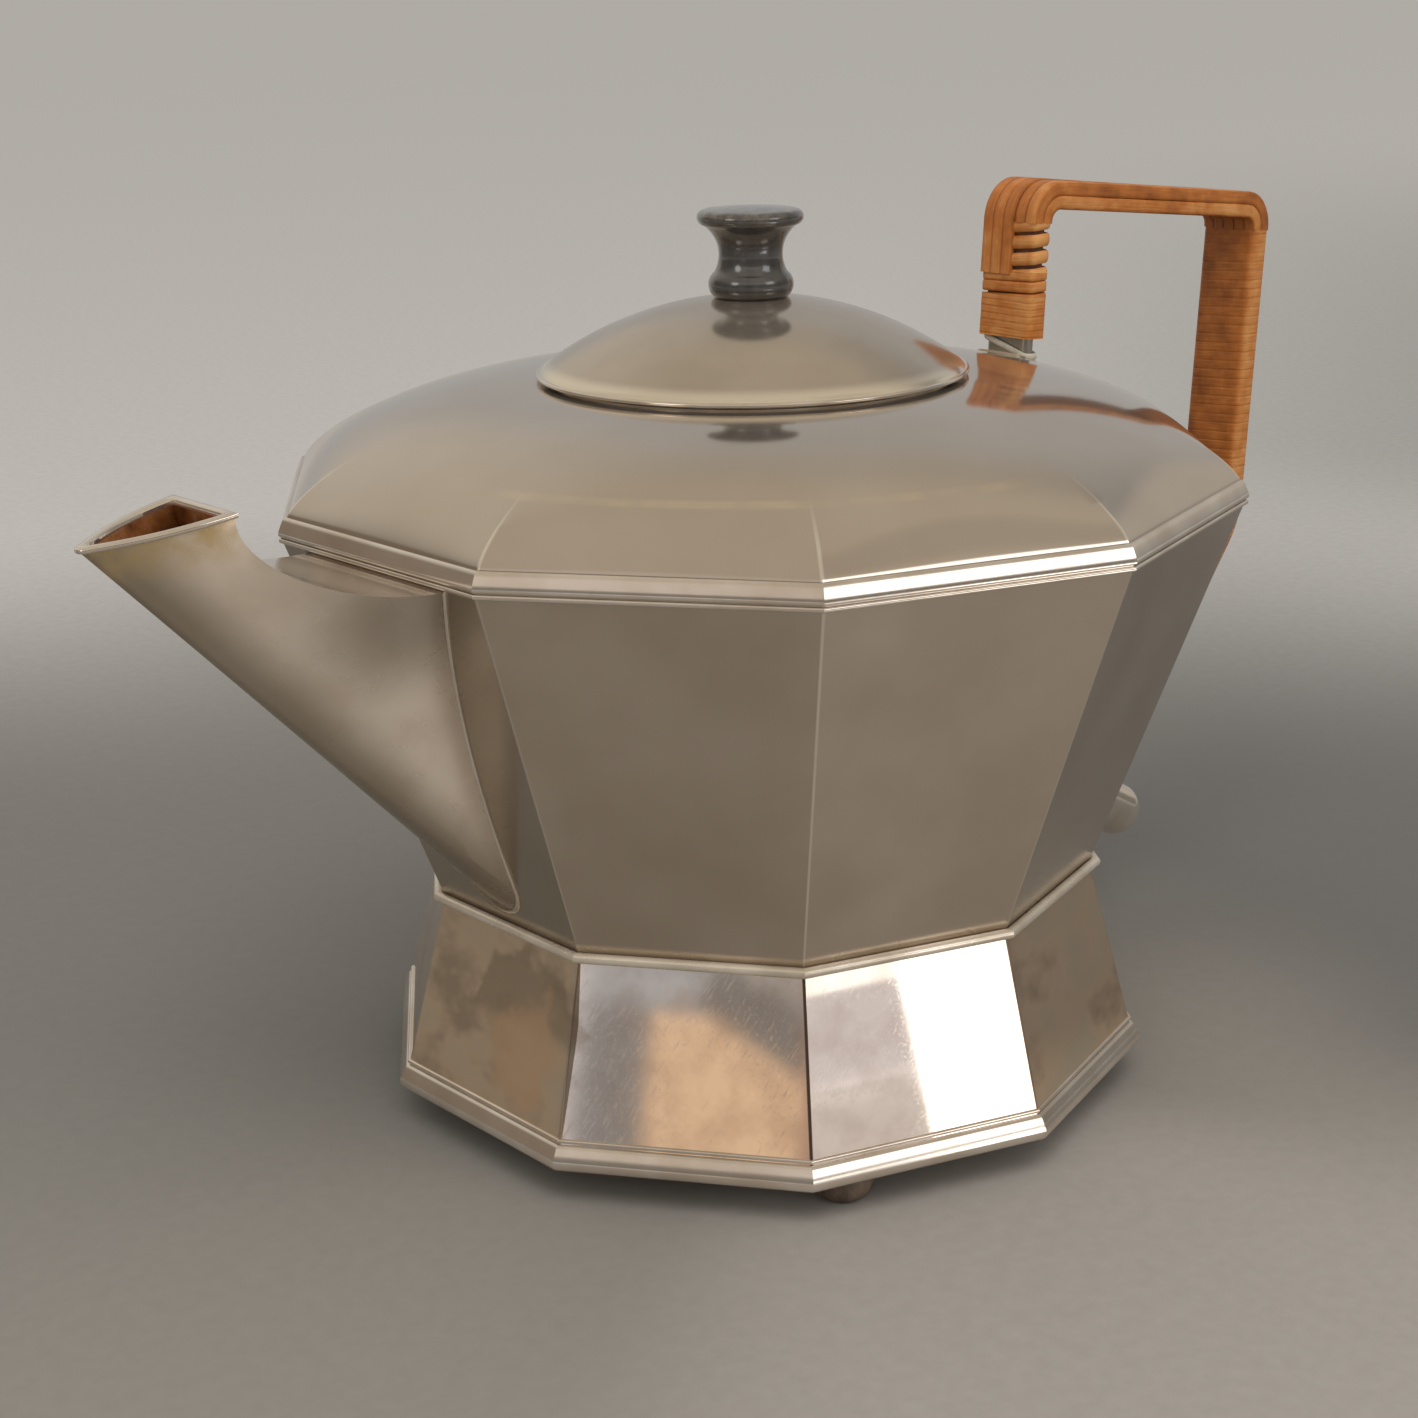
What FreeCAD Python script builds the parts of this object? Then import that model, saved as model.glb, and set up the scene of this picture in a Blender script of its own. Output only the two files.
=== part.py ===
import FreeCAD, Part
import math
import os

from FreeCAD import Vector

# Silver teapot: a ten-sided body on a flared foot, a domed shoulder, a lift-off lid with a turned knob,
# a keeled spout and a bent strap handle wound with cane.
# Millimetres, +Z up. The spout points along -X and the handle along +X. The pieces are drawn round the
# body's axis and moved at the end, so that the origin is on the table half way along the pot's length.
# A facet's size is its apothem, the distance from the axis to the middle of the facet.

# Body, in sheet metal
facets = 10
sheet = 1.0
solder_gap = 0.05
foot_top_z = 5.4
foot_apothem = 62.4
waist_z = 38.2
waist_apothem = 54.1
rim_z = 104.2
rim_apothem = 74.9
brim_proud = 1.2

# Shoulder, which goes from the ten-sided rim to the round mouth
seat_z = 119.8
seat_land = 2.2
shoulder_fullness = 0.75
crease_height = 12.0

# Beads and wires soldered on the body
rim_bead_height = 2.9
rim_bead_proud = 1.0
rim_wire_height = 0.8
rim_wire_proud = 0.45
waist_wire_radius = 0.85
foot_bead_height = 4.0
foot_bead_proud = 1.0
foot_wire_height = 0.7
foot_wire_proud = 0.4
wire_spacing = 0.2

# Foot flange and feet
flange_width = 13.0
foot_count = 3
foot_circle_radius = 56.5
foot_radius = 5.2
foot_sole_radius = 3.4
foot_pin_radius = 1.0
foot_pin_head_radius = 2.2
foot_pin_head = 0.8
foot_pin_depth = 4.0

# Lid and knob
lid_radius = 35.0
lid_overhang = 3.8
lid_clearance = 0.4
collar_depth = 8.0
lid_rise = 11.6
lid_rim_height = 0.7
bezel_depth = 6.5
knob_height = 14.1
knob_top_radius = 8.6
knob_neck_radius = 5.2
knob_base_radius = 6.9
knob_stud_radius = 1.5
washer_radius = 5.0
washer_thickness = 0.8
nut_radius = 3.2
nut_height = 2.4

# Spout
spout_top_z = 100.0
spout_top_half_width = 17.3
spout_keel_z = 41.4
spout_keel_half_width = 6.0
mouth_rear_reach = 28.1
mouth_rear_z = 113.7
mouth_half_width = 8.0
mouth_tip_reach = 47.1
mouth_tip_z = 110.8
mouth_keel_half_width = 1.4
spout_root_swell = -0.06
spout_mouth_swell = 0.07
lip_height = 1.0
lip_proud = 0.45

# Strainer behind the spout
window_inset = 3.0
strainer_overlap = 2.0
strainer_sheet = 0.8
strainer_hole_radius = 1.4
strainer_pitch = 5.6

# Handle strap, its seats and its cane
strap_width = 9.6
strap_thickness = 2.6
strap_edge_radius = 1.25
leg_set_in = 12.3
leg_lean = 2.7
handle_reach = 64.2
handle_top_z = 144.0
handle_fall = 6.9
rear_lean = 4.8
rear_bend_z = 76.0
corner_radius = 4.6
lower_bend_radius = 14.0
flange_inner_reach = 3.6
flange_outer_reach = 8.0
flange_breadth = 12.0
flange_sheet = 0.8
flange_corner = 3.5
arm_root_z = 44.0
arm_root_radius = 4.0
arm_reach = 40.9
arm_tip_z = 20.3
arm_tip_radius = 5.2
arm_seat_from_tip = 13.0
tenon_depth = 3.2
handle_pin_radius = 1.0
cane = 1.1
cane_clearance = 0.1
cane_edge_radius = 0.8
bare_strap = 3.7
bare_lower_strap = 3.0
cane_turns = 11
cane_joint_gap = 0.3

# Places that follow from these sizes
collar_radius = lid_radius - lid_overhang
seat_radius = collar_radius + seat_land
mouth_rear_x = -(rim_apothem + mouth_rear_reach)
mouth_tip_x = -(rim_apothem + mouth_tip_reach)
brim_apothem = rim_apothem + brim_proud
brim_z = rim_z - rim_bead_height
front_leg_x = rim_apothem - leg_set_in
half_facet = math.pi / facets
up = Vector(0, 0, 1)
pieces = {}


def save(name, shape):
    pieces[name] = shape


def polar(radius, angle, z):
    return Vector(radius * math.cos(angle), radius * math.sin(angle), z)


def polygon(apothem, z):
    """The body's ten-sided outline at one height, with a facet facing +X."""
    radius = apothem / math.cos(half_facet)
    corners = [polar(radius, half_facet * (2 * k + 1), z) for k in range(facets)]
    return Part.makePolygon(corners + corners[:1])


def frustum(apothem_low, z_low, apothem_high, z_high):
    return Part.makeLoft([polygon(apothem_low, z_low), polygon(apothem_high, z_high)], True, True)


def facet_ring(profile, reach):
    """Runs a closed XZ profile round the ten facets, mitred at the corners."""
    half_length = reach * math.tan(half_facet)
    start = profile.copy()
    start.translate(Vector(0, -half_length, 0))
    bar = Part.Face(start).extrude(Vector(0, 2 * half_length, 0))
    low = bar.BoundBox.ZMin - 1
    height = bar.BoundBox.ZLength + 2
    outline = [Vector(0, 0, low), Vector(reach, -half_length, low), Vector(reach, half_length, low)]
    sector = Part.Face(Part.makePolygon(outline + outline[:1])).extrude(up * height)
    piece = bar.common(sector)
    sides = []
    for k in range(facets):
        copy = piece.copy()
        copy.rotate(Vector(), up, 360.0 / facets * k)
        sides.append(copy)
    return sides[0].multiFuse(sides[1:]).removeSplitter()


def revolve(edges):
    return Part.Face(Part.Wire(edges)).revolve(Vector(), up, 360)


def outline_edges(points):
    """Straight edges through XZ points, closed."""
    corners = [Vector(x, 0, z) for x, z in points]
    return [Part.makeLine(a, b) for a, b in zip(corners, corners[1:] + corners[:1])]


def ring(inner, outer, z_low, z_high):
    return revolve(outline_edges([(inner, z_low), (outer, z_low), (outer, z_high), (inner, z_high)]))


wall_slope = (brim_apothem - waist_apothem) / (brim_z - waist_z)
brim_slope = (rim_apothem - brim_apothem) / (rim_z - brim_z)
skirt_slope = (foot_apothem - waist_apothem) / (waist_z - foot_top_z)
wall_step = sheet * math.hypot(1, wall_slope)
brim_step = sheet * math.hypot(1, brim_slope)
skirt_step = sheet * math.hypot(1, skirt_slope)


def wall_apothem(z):
    return waist_apothem + wall_slope * (z - waist_z)


def brim_face(z):
    return brim_apothem + brim_slope * (z - brim_z)


def skirt_apothem(z):
    return waist_apothem + skirt_slope * (waist_z - z)


def bead_profile(apothem, z_low, z_high, proud):
    """A half-round section lying on a sloping face, between two heights."""
    low = Vector(apothem(z_low), 0, z_low)
    high = Vector(apothem(z_high), 0, z_high)
    middle = (low + high) * 0.5
    face = (high - low).normalize()
    crown = middle + Vector(face.z, 0, -face.x) * proud
    return Part.Wire([Part.makeLine(high, low), Part.Arc(low, crown, high).toShape()])


# Vessel wall, floor and foot skirt
overshoot = 2.0
vessel_outside = frustum(waist_apothem, waist_z, brim_apothem, brim_z)
vessel_outside = vessel_outside.fuse(frustum(brim_apothem, brim_z, rim_apothem, rim_z)).removeSplitter()
hollow_below = frustum(
    wall_apothem(waist_z - overshoot) - wall_step,
    waist_z - overshoot,
    brim_apothem - wall_step,
    brim_z,
)
hollow_above = frustum(
    brim_apothem - wall_step,
    brim_z,
    brim_face(rim_z + overshoot) - brim_step,
    rim_z + overshoot,
)
vessel_hollow = hollow_below.fuse(hollow_above).removeSplitter()
vessel_floor = frustum(
    wall_apothem(waist_z) - wall_step - solder_gap,
    waist_z,
    wall_apothem(waist_z + sheet) - wall_step - solder_gap,
    waist_z + sheet,
)
skirt_hollow = frustum(
    skirt_apothem(foot_top_z - overshoot) - skirt_step,
    foot_top_z - overshoot,
    skirt_apothem(waist_z + overshoot) - skirt_step,
    waist_z + overshoot,
)
foot_skirt = frustum(foot_apothem, foot_top_z, waist_apothem, waist_z).cut(skirt_hollow)

# Foot flange: a flat plate inside the skirt's lower edge, which carries the feet
flange_top_z = foot_top_z + sheet
foot_flange_apothem = skirt_apothem(foot_top_z) - skirt_step - solder_gap
flange_plate = frustum(
    foot_flange_apothem, foot_top_z, skirt_apothem(flange_top_z) - skirt_step - solder_gap, flange_top_z
)
flange_hole_apothem = foot_flange_apothem - flange_width
flange_hole = frustum(
    flange_hole_apothem, foot_top_z - overshoot, flange_hole_apothem, flange_top_z + overshoot
)
foot_flange = flange_plate.cut(flange_hole)


def turned_foot():
    """A bun foot with a flat sole, bored for its pin."""
    top = foot_top_z
    bore = foot_pin_radius + solder_gap
    bore_end = top - foot_pin_depth - solder_gap
    swell = Vector(foot_radius, 0, top * 0.55)
    edges = [
        Part.makeLine(Vector(0, 0, 0), Vector(foot_sole_radius, 0, 0)),
        Part.Arc(Vector(foot_sole_radius, 0, 0), swell, Vector(foot_radius * 0.9, 0, top)).toShape(),
        Part.makeLine(Vector(foot_radius * 0.9, 0, top), Vector(bore, 0, top)),
        Part.makeLine(Vector(bore, 0, top), Vector(bore, 0, bore_end)),
        Part.makeLine(Vector(bore, 0, bore_end), Vector(0, 0, bore_end)),
        Part.makeLine(Vector(0, 0, bore_end), Vector(0, 0, 0)),
    ]
    return revolve(edges)


def foot_pin():
    """A headed pin through the flange into the foot."""
    points = [
        (0, foot_top_z - foot_pin_depth),
        (foot_pin_radius, foot_top_z - foot_pin_depth),
        (foot_pin_radius, flange_top_z),
        (foot_pin_head_radius, flange_top_z),
        (foot_pin_head_radius * 0.7, flange_top_z + foot_pin_head),
        (0, flange_top_z + foot_pin_head),
    ]
    return revolve(outline_edges(points))


foot_names = ["back", "right", "left"]
for k, side in enumerate(foot_names):
    angle = 2 * math.pi * k / foot_count
    place = polar(foot_circle_radius, angle, 0)
    hole = Part.makeCylinder(foot_pin_radius + solder_gap, sheet + 2, place + up * (foot_top_z - 1))
    foot_flange = foot_flange.cut(hole)
    save(f"foot_{side}", turned_foot().translated(place))
    save(f"foot_pin_{side}", foot_pin().translated(place))

save("foot_flange", foot_flange)
save("foot_skirt", foot_skirt)
save("vessel_floor", vessel_floor)

# Beads and wires round the body
reach = 2 * max(rim_apothem, foot_apothem)
rim_wire_high = brim_z - wire_spacing
foot_bead_high = foot_top_z + foot_bead_height
foot_wire_low = foot_bead_high + wire_spacing
save("rim_bead", facet_ring(bead_profile(brim_face, brim_z, rim_z, rim_bead_proud), reach))
rim_wire_low = rim_wire_high - rim_wire_height
save("rim_wire", facet_ring(bead_profile(wall_apothem, rim_wire_low, rim_wire_high, rim_wire_proud), reach))
save("foot_bead", facet_ring(bead_profile(skirt_apothem, foot_top_z, foot_bead_high, foot_bead_proud), reach))
foot_wire_high = foot_wire_low + foot_wire_height
save("foot_wire", facet_ring(bead_profile(skirt_apothem, foot_wire_low, foot_wire_high, foot_wire_proud), reach))
groove_angle = (math.atan(wall_slope) + math.atan(skirt_slope)) / 2
waist_wire_x = waist_apothem + waist_wire_radius / math.cos(groove_angle) + solder_gap
waist_circle = Part.makeCircle(waist_wire_radius, Vector(waist_wire_x, 0, waist_z), Vector(0, 1, 0))
save("waist_wire", facet_ring(Part.Wire(waist_circle), reach))


# Shoulder: sections that bulge from a straight-sided decagon at the rim to a circle at the mouth
def shoulder_section(run):
    """The outline at a share of the way in from the rim to the mouth."""
    rim_radius = rim_apothem / math.cos(half_facet)
    radius = rim_radius + (seat_radius - rim_radius) * run
    rise = (seat_z - rim_z) * (1 - (1 - run) ** 2) ** shoulder_fullness
    blend = min(rise / crease_height, 1.0)
    bulge = blend * blend * (3 - 2 * blend)
    middle_radius = radius * (math.cos(half_facet) * (1 - bulge) + bulge)
    edges = []
    for k in range(facets):
        start = polar(radius, half_facet * (2 * k - 1), rim_z + rise)
        middle = polar(middle_radius, half_facet * 2 * k, rim_z + rise)
        end = polar(radius, half_facet * (2 * k + 1), rim_z + rise)
        flat = bulge == 0
        edges.append(Part.makeLine(start, end) if flat else Part.Arc(start, middle, end).toShape())
    return Part.Wire(edges)


shoulder_runs = [0, 0.02, 0.08, 0.2, 0.4, 0.7, 1]
shoulder_outside = Part.makeLoft([shoulder_section(run) for run in shoulder_runs], True, False)
shoulder_inside = shoulder_outside.translated(up * -sheet)
mouth_radius = collar_radius + solder_gap
mouth = Part.makeCylinder(mouth_radius, seat_z, Vector(0, 0, rim_z))
shoulder_cover = shoulder_outside.cut(shoulder_inside).cut(mouth)
save("shoulder_cover", shoulder_cover)

# Collar: the neck ring in the mouth, whose turned-out edge is the lid's seat
collar_lip = seat_radius - 0.6
collar_points = [
    (collar_radius - sheet, seat_z - collar_depth),
    (collar_radius, seat_z - collar_depth),
    (collar_radius, seat_z + solder_gap),
    (collar_lip, seat_z + solder_gap),
    (collar_lip, seat_z + solder_gap + sheet * 0.5),
    (collar_radius - sheet, seat_z + solder_gap + sheet * 0.5),
]
save("lid_collar", revolve(outline_edges(collar_points)))
lid_seat_z = seat_z + solder_gap + sheet * 0.5

# Lid: a spun dome with a wire edge and a bezel that drops into the collar
lid_sphere = (lid_radius**2 + lid_rise**2) / (2 * lid_rise)
lid_edge_z = lid_seat_z + lid_rim_height


def dome_z(radius, drop):
    """Height of the dome's outer face, or of a face a drop below it, at a radius."""
    ball = lid_sphere - drop
    return lid_edge_z + lid_rise - lid_sphere + math.sqrt(ball**2 - radius**2)


knob_base_z = dome_z(0, 0)
bezel_outer = collar_radius - sheet - lid_clearance
bezel_inner = bezel_outer - sheet
stud_hole = knob_stud_radius + solder_gap
inner_edge = math.sqrt((lid_sphere - sheet) ** 2 - (lid_edge_z - knob_base_z + lid_sphere) ** 2)
half_way = lid_radius / 2
dome_edges = [
    Part.Arc(
        Vector(stud_hole, 0, dome_z(stud_hole, 0)),
        Vector(half_way, 0, dome_z(half_way, 0)),
        Vector(lid_radius, 0, lid_edge_z),
    ).toShape(),
    Part.makeLine(Vector(lid_radius, 0, lid_edge_z), Vector(inner_edge, 0, lid_edge_z)),
    Part.Arc(
        Vector(inner_edge, 0, lid_edge_z),
        Vector(half_way, 0, dome_z(half_way, sheet)),
        Vector(stud_hole, 0, dome_z(stud_hole, sheet)),
    ).toShape(),
    Part.makeLine(Vector(stud_hole, 0, dome_z(stud_hole, sheet)), Vector(stud_hole, 0, dome_z(stud_hole, 0))),
]
save("lid_dome", revolve(dome_edges))

rim_round = lid_rim_height / 2
lid_rim_edges = [
    Part.makeLine(Vector(bezel_inner, 0, lid_edge_z), Vector(bezel_inner, 0, lid_seat_z)),
    Part.makeLine(Vector(bezel_inner, 0, lid_seat_z), Vector(lid_radius, 0, lid_seat_z)),
    Part.Arc(
        Vector(lid_radius, 0, lid_seat_z),
        Vector(lid_radius + rim_round, 0, lid_seat_z + rim_round),
        Vector(lid_radius, 0, lid_edge_z),
    ).toShape(),
    Part.makeLine(Vector(lid_radius, 0, lid_edge_z), Vector(bezel_inner, 0, lid_edge_z)),
]
save("lid_rim", revolve(lid_rim_edges))
save("lid_bezel", ring(bezel_inner, bezel_outer, lid_seat_z - bezel_depth, lid_seat_z))

# Knob: turned wood on a stud, with a nut and washer under the dome
knob_foot_z = dome_z(knob_base_radius * 0.85, 0)
knob_top_z = knob_base_z + knob_height
knob_bore_top = knob_top_z - knob_height * 0.35
neck_z = knob_base_z + knob_height * 0.46
ring_z = knob_base_z + knob_height * 0.16
cap_z = knob_top_z - knob_height * 0.14
crown_radius = knob_top_radius * 0.88
crown_drop = knob_height * 0.03
crown_sphere = (crown_radius**2 + crown_drop**2) / (2 * crown_drop)
crown_middle_z = knob_top_z - crown_sphere + math.sqrt(crown_sphere**2 - crown_radius**2 / 4)
knob_points = {
    "foot": Vector(knob_base_radius * 0.85, 0, knob_foot_z),
    "ring": Vector(knob_base_radius, 0, ring_z),
    "ring_top": Vector(knob_base_radius * 0.86, 0, ring_z + knob_height * 0.11),
    "neck": Vector(knob_neck_radius, 0, neck_z),
    "cap_low": Vector(knob_top_radius * 0.9, 0, cap_z - knob_height * 0.06),
    "cap": Vector(knob_top_radius, 0, cap_z),
    "crown": Vector(crown_radius, 0, knob_top_z - crown_drop),
    "crown_mid": Vector(crown_radius / 2, 0, crown_middle_z),
    "top": Vector(0, 0, knob_top_z),
}
knob_edges = [
    Part.Arc(knob_points["foot"], knob_points["ring"], knob_points["ring_top"]).toShape(),
    Part.Arc(knob_points["ring_top"], knob_points["neck"], knob_points["cap_low"]).toShape(),
    Part.Arc(knob_points["cap_low"], knob_points["cap"], knob_points["crown"]).toShape(),
    Part.Arc(knob_points["crown"], knob_points["crown_mid"], knob_points["top"]).toShape(),
    Part.makeLine(knob_points["top"], Vector(0, 0, knob_bore_top)),
    Part.makeLine(Vector(0, 0, knob_bore_top), Vector(stud_hole, 0, knob_bore_top)),
    Part.makeLine(Vector(stud_hole, 0, knob_bore_top), Vector(stud_hole, 0, dome_z(stud_hole, 0))),
    Part.Arc(
        Vector(stud_hole, 0, dome_z(stud_hole, 0)),
        Vector(knob_base_radius / 2, 0, dome_z(knob_base_radius / 2, 0)),
        knob_points["foot"],
    ).toShape(),
]
save("knob", revolve(knob_edges))

washer_top = dome_z(washer_radius, sheet)
washer_low = washer_top - washer_thickness
nut_low = washer_low - nut_height
save("knob_washer", ring(stud_hole, washer_radius, washer_low, washer_top))
nut_bore = knob_stud_radius + solder_gap
nut_sides = 6
nut_corners = [polar(nut_radius, math.pi / nut_sides * (2 * k + 1), nut_low) for k in range(nut_sides)]
nut_blank = Part.Face(Part.makePolygon(nut_corners + nut_corners[:1])).extrude(up * nut_height)
save("knob_nut", nut_blank.cut(Part.makeCylinder(nut_bore, nut_height + 2, Vector(0, 0, nut_low - 1))))
stud_low = nut_low - 1
stud_top = knob_bore_top - solder_gap
save("knob_stud", Part.makeCylinder(knob_stud_radius, stud_top - stud_low, Vector(0, 0, stud_low)))

# Spout: keeled sections that turn from the front facet to the level mouth
spout_angles = [0, 30, 50, 70, 90]


def spout_section(angle, inset):
    """The outline at a turn from the facet (0) to the mouth (90), drawn in by an inset."""
    share = math.radians(angle)
    run = math.sin(share)
    keel_share = angle / 90
    base_top = Vector(-wall_apothem(spout_top_z), 0, spout_top_z)
    base_keel = Vector(-wall_apothem(spout_keel_z), 0, spout_keel_z)
    mouth_rear = Vector(mouth_rear_x, 0, mouth_rear_z)
    mouth_tip = Vector(mouth_tip_x, 0, mouth_tip_z)
    top = Vector(
        base_top.x + (mouth_rear.x - base_top.x) * run,
        0,
        base_top.z + (mouth_rear.z - base_top.z) * (1 - math.cos(share)),
    )
    keel = base_keel + (mouth_tip - base_keel) * keel_share
    down = (keel - top).normalize()
    half_top = spout_top_half_width + (mouth_half_width - spout_top_half_width) * run**1.7 - 1.3 * inset
    keel_taper = (1 - keel_share) ** 2
    half_keel = mouth_keel_half_width + (spout_keel_half_width - mouth_keel_half_width) * keel_taper
    half_keel -= 0.5 * inset
    swell = spout_root_swell + (spout_mouth_swell - spout_root_swell) * keel_share
    top += down * inset
    keel -= down * (1.6 * inset)
    shoulder_of_keel = keel - down * half_keel * 0.8
    across = Vector(0, 1, 0)
    corners = [top + across * half_top, top - across * half_top]
    ends = [shoulder_of_keel + across * half_keel, shoulder_of_keel - across * half_keel]
    swells = []
    for corner, end, side in zip(corners, ends, (1, -1)):
        chord = end - corner
        outward = (down * -chord.dot(across) + across * chord.dot(down)) * side
        swells.append((corner + end) * 0.5 + outward * swell)
    return Part.Wire(
        [
            Part.makeLine(corners[1], corners[0]),
            Part.Arc(corners[0], swells[0], ends[0]).toShape(),
            Part.Arc(ends[0], keel, ends[1]).toShape(),
            Part.Arc(ends[1], swells[1], corners[1]).toShape(),
        ]
    )


spout_outside = Part.makeLoft([spout_section(angle, 0) for angle in spout_angles], True, False)
spout_inside = Part.makeLoft([spout_section(angle, sheet) for angle in spout_angles], True, False)
save("spout_shell", spout_outside.cut(spout_inside))

mouth_normal = Vector(mouth_tip_z - mouth_rear_z, 0, mouth_rear_x - mouth_tip_x).normalize()
if mouth_normal.z < 0:
    mouth_normal = -mouth_normal
lip_outside = Part.Face(spout_section(90, -lip_proud)).extrude(mouth_normal * lip_height)
lip_inside = Part.Face(spout_section(90, sheet)).extrude(mouth_normal * lip_height)
save("spout_lip", lip_outside.cut(lip_inside))

# Strainer: a pierced plate inside the wall, over a window cut through the front facet
facet_out = Vector(-1, 0, -wall_slope).normalize()
facet_up = Vector(-wall_slope, 0, 1).normalize()
window_prism = Part.Face(spout_section(0, window_inset)).extrude(facet_out * (-3 * sheet))
window_outset = Part.Face(spout_section(0, window_inset)).extrude(facet_out * sheet)
vessel_wall = vessel_outside.cut(vessel_hollow).cut(window_prism.fuse(window_outset))
save("vessel_wall", vessel_wall)

plate_face = Part.Face(spout_section(0, window_inset - strainer_overlap))
plate_face.translate(facet_out * -(sheet + solder_gap))
strainer_plate = plate_face.extrude(facet_out * -strainer_sheet)
window_top = spout_top_z - window_inset
window_height = window_top - spout_keel_z - 2 * window_inset
row_step = strainer_pitch * math.sqrt(3) / 2
rows = int(window_height / row_step)
holes = []
for row in range(rows):
    down_facet = row_step * (row + 0.7)
    share = down_facet / window_height
    half_width = (spout_top_half_width - 2 * window_inset) * (1 - share) ** 1.6
    count = int(2 * half_width / strainer_pitch) + 1
    centre = Vector(-wall_apothem(window_top), 0, window_top) - facet_up * down_facet
    for k in range(count):
        across = (k - (count - 1) / 2) * strainer_pitch
        start = centre + Vector(0, across, 0)
        holes.append(Part.makeCylinder(strainer_hole_radius, 8 * sheet, start, facet_out * -1))
save("strainer_plate", strainer_plate.cut(Part.makeCompound(holes)))


# Handle: one bent strap from the shoulder round to a rounded arm low on the back facet
def rounded_path(points, radii):
    """Straight runs through XZ points with a tangent arc at each inner point, as separate edges."""
    edges = []
    start = points[0]
    for before, corner, after, radius in zip(points, points[1:], points[2:], radii):
        into = (corner - before).normalize()
        out = (after - corner).normalize()
        turn = into.getAngle(out)
        setback = radius * math.tan(turn / 2)
        arc_start = corner - into * setback
        arc_end = corner + out * setback
        inward = (out - into).normalize()
        middle = corner + inward * (radius / math.cos(turn / 2) - radius)
        edges.append(Part.makeLine(start, arc_start))
        edges.append(Part.Arc(arc_start, middle, arc_end).toShape())
        start = arc_end
    edges.append(Part.makeLine(start, points[-1]))
    return edges


def strap_section(edges, width, thickness, edge_radius):
    """A round-edged rectangle square to the start of a path in the XZ plane."""
    first = edges[0]
    start = first.valueAt(first.FirstParameter)
    along = first.tangentAt(first.FirstParameter)
    flat = Vector(along.z, 0, -along.x)
    across = Vector(0, 1, 0)
    half_w = width / 2
    half_t = thickness / 2
    parts = []
    sides = [(1, 1), (-1, 1), (-1, -1), (1, -1)]
    tips = []
    for w_sign, t_sign in sides:
        centre = start + across * (w_sign * (half_w - edge_radius)) + flat * (t_sign * (half_t - edge_radius))
        w_end = centre + across * (w_sign * edge_radius)
        t_end = centre + flat * (t_sign * edge_radius)
        middle = centre + (across * w_sign + flat * t_sign) * (edge_radius / math.sqrt(2))
        swap = w_sign == t_sign
        tips.append((w_end, middle, t_end) if swap else (t_end, middle, w_end))
    for corner, following in zip(tips, tips[1:] + tips[:1]):
        parts.append(Part.Arc(*corner).toShape())
        parts.append(Part.makeLine(corner[2], following[0]))
    return Part.Wire(parts)


def sweep(edges, section):
    return Part.Wire(edges).makePipeShell([section], True, False)


arm_root_x = wall_apothem(arm_root_z)
arm_root = Vector(arm_root_x, 0, arm_root_z)
arm_tip = Vector(arm_root_x + arm_reach, 0, arm_tip_z)
arm_axis = (arm_tip - arm_root).normalize()
arm_seat = arm_tip - arm_axis * arm_seat_from_tip
front_corner = Vector(front_leg_x + leg_lean, 0, handle_top_z)
rear_corner = front_corner + Vector(handle_reach, 0, -handle_fall)
rear_bend = Vector(rear_corner.x - rear_lean, 0, rear_bend_z)
lower_run = (arm_seat - rear_bend).normalize()
arm_length = (arm_tip - arm_root).Length


def arm_radius(distance):
    return arm_root_radius + (arm_tip_radius - arm_root_radius) * distance / arm_length


seat_radius_on_arm = arm_radius(arm_length - arm_seat_from_tip)
tenon_tip = arm_seat - lower_run * (seat_radius_on_arm - tenon_depth)

# The flange under the front leg: a plate that follows the shoulder, and that the strap stands on
flange_column = Part.makeBox(
    flange_inner_reach + flange_outer_reach,
    flange_breadth,
    seat_z - rim_z,
    Vector(front_leg_x - flange_inner_reach, -flange_breadth / 2, rim_z),
)
upright = [e for e in flange_column.Edges if abs(e.tangentAt(e.FirstParameter).z) > 0.99]
flange_column = flange_column.makeFillet(flange_corner, upright)
flange_outside = shoulder_outside.translated(up * flange_sheet)
save("handle_flange", flange_column.common(flange_outside).cut(shoulder_outside))
strap_foot = Vector(front_leg_x, 0, rim_z + 2 * flange_sheet)
leg_axis = (front_corner - strap_foot).normalize()
leg_buried = Part.makeLine(strap_foot, front_corner).common(flange_outside).Length
strap_points = [strap_foot, front_corner, rear_corner, rear_bend, tenon_tip]
bend_radii = [corner_radius, corner_radius, lower_bend_radius]
strap_edges = rounded_path(strap_points, bend_radii)
strap = sweep(strap_edges, strap_section(strap_edges, strap_width, strap_thickness, strap_edge_radius))
pin_hole = Part.makeCylinder(
    handle_pin_radius + solder_gap,
    4 * arm_tip_radius,
    arm_seat - lower_run * (seat_radius_on_arm - tenon_depth * 0.55) - Vector(0, 2 * arm_tip_radius, 0),
    Vector(0, 1, 0),
)
save("handle_strap", strap.cut(pin_hole).cut(flange_outside))

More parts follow.
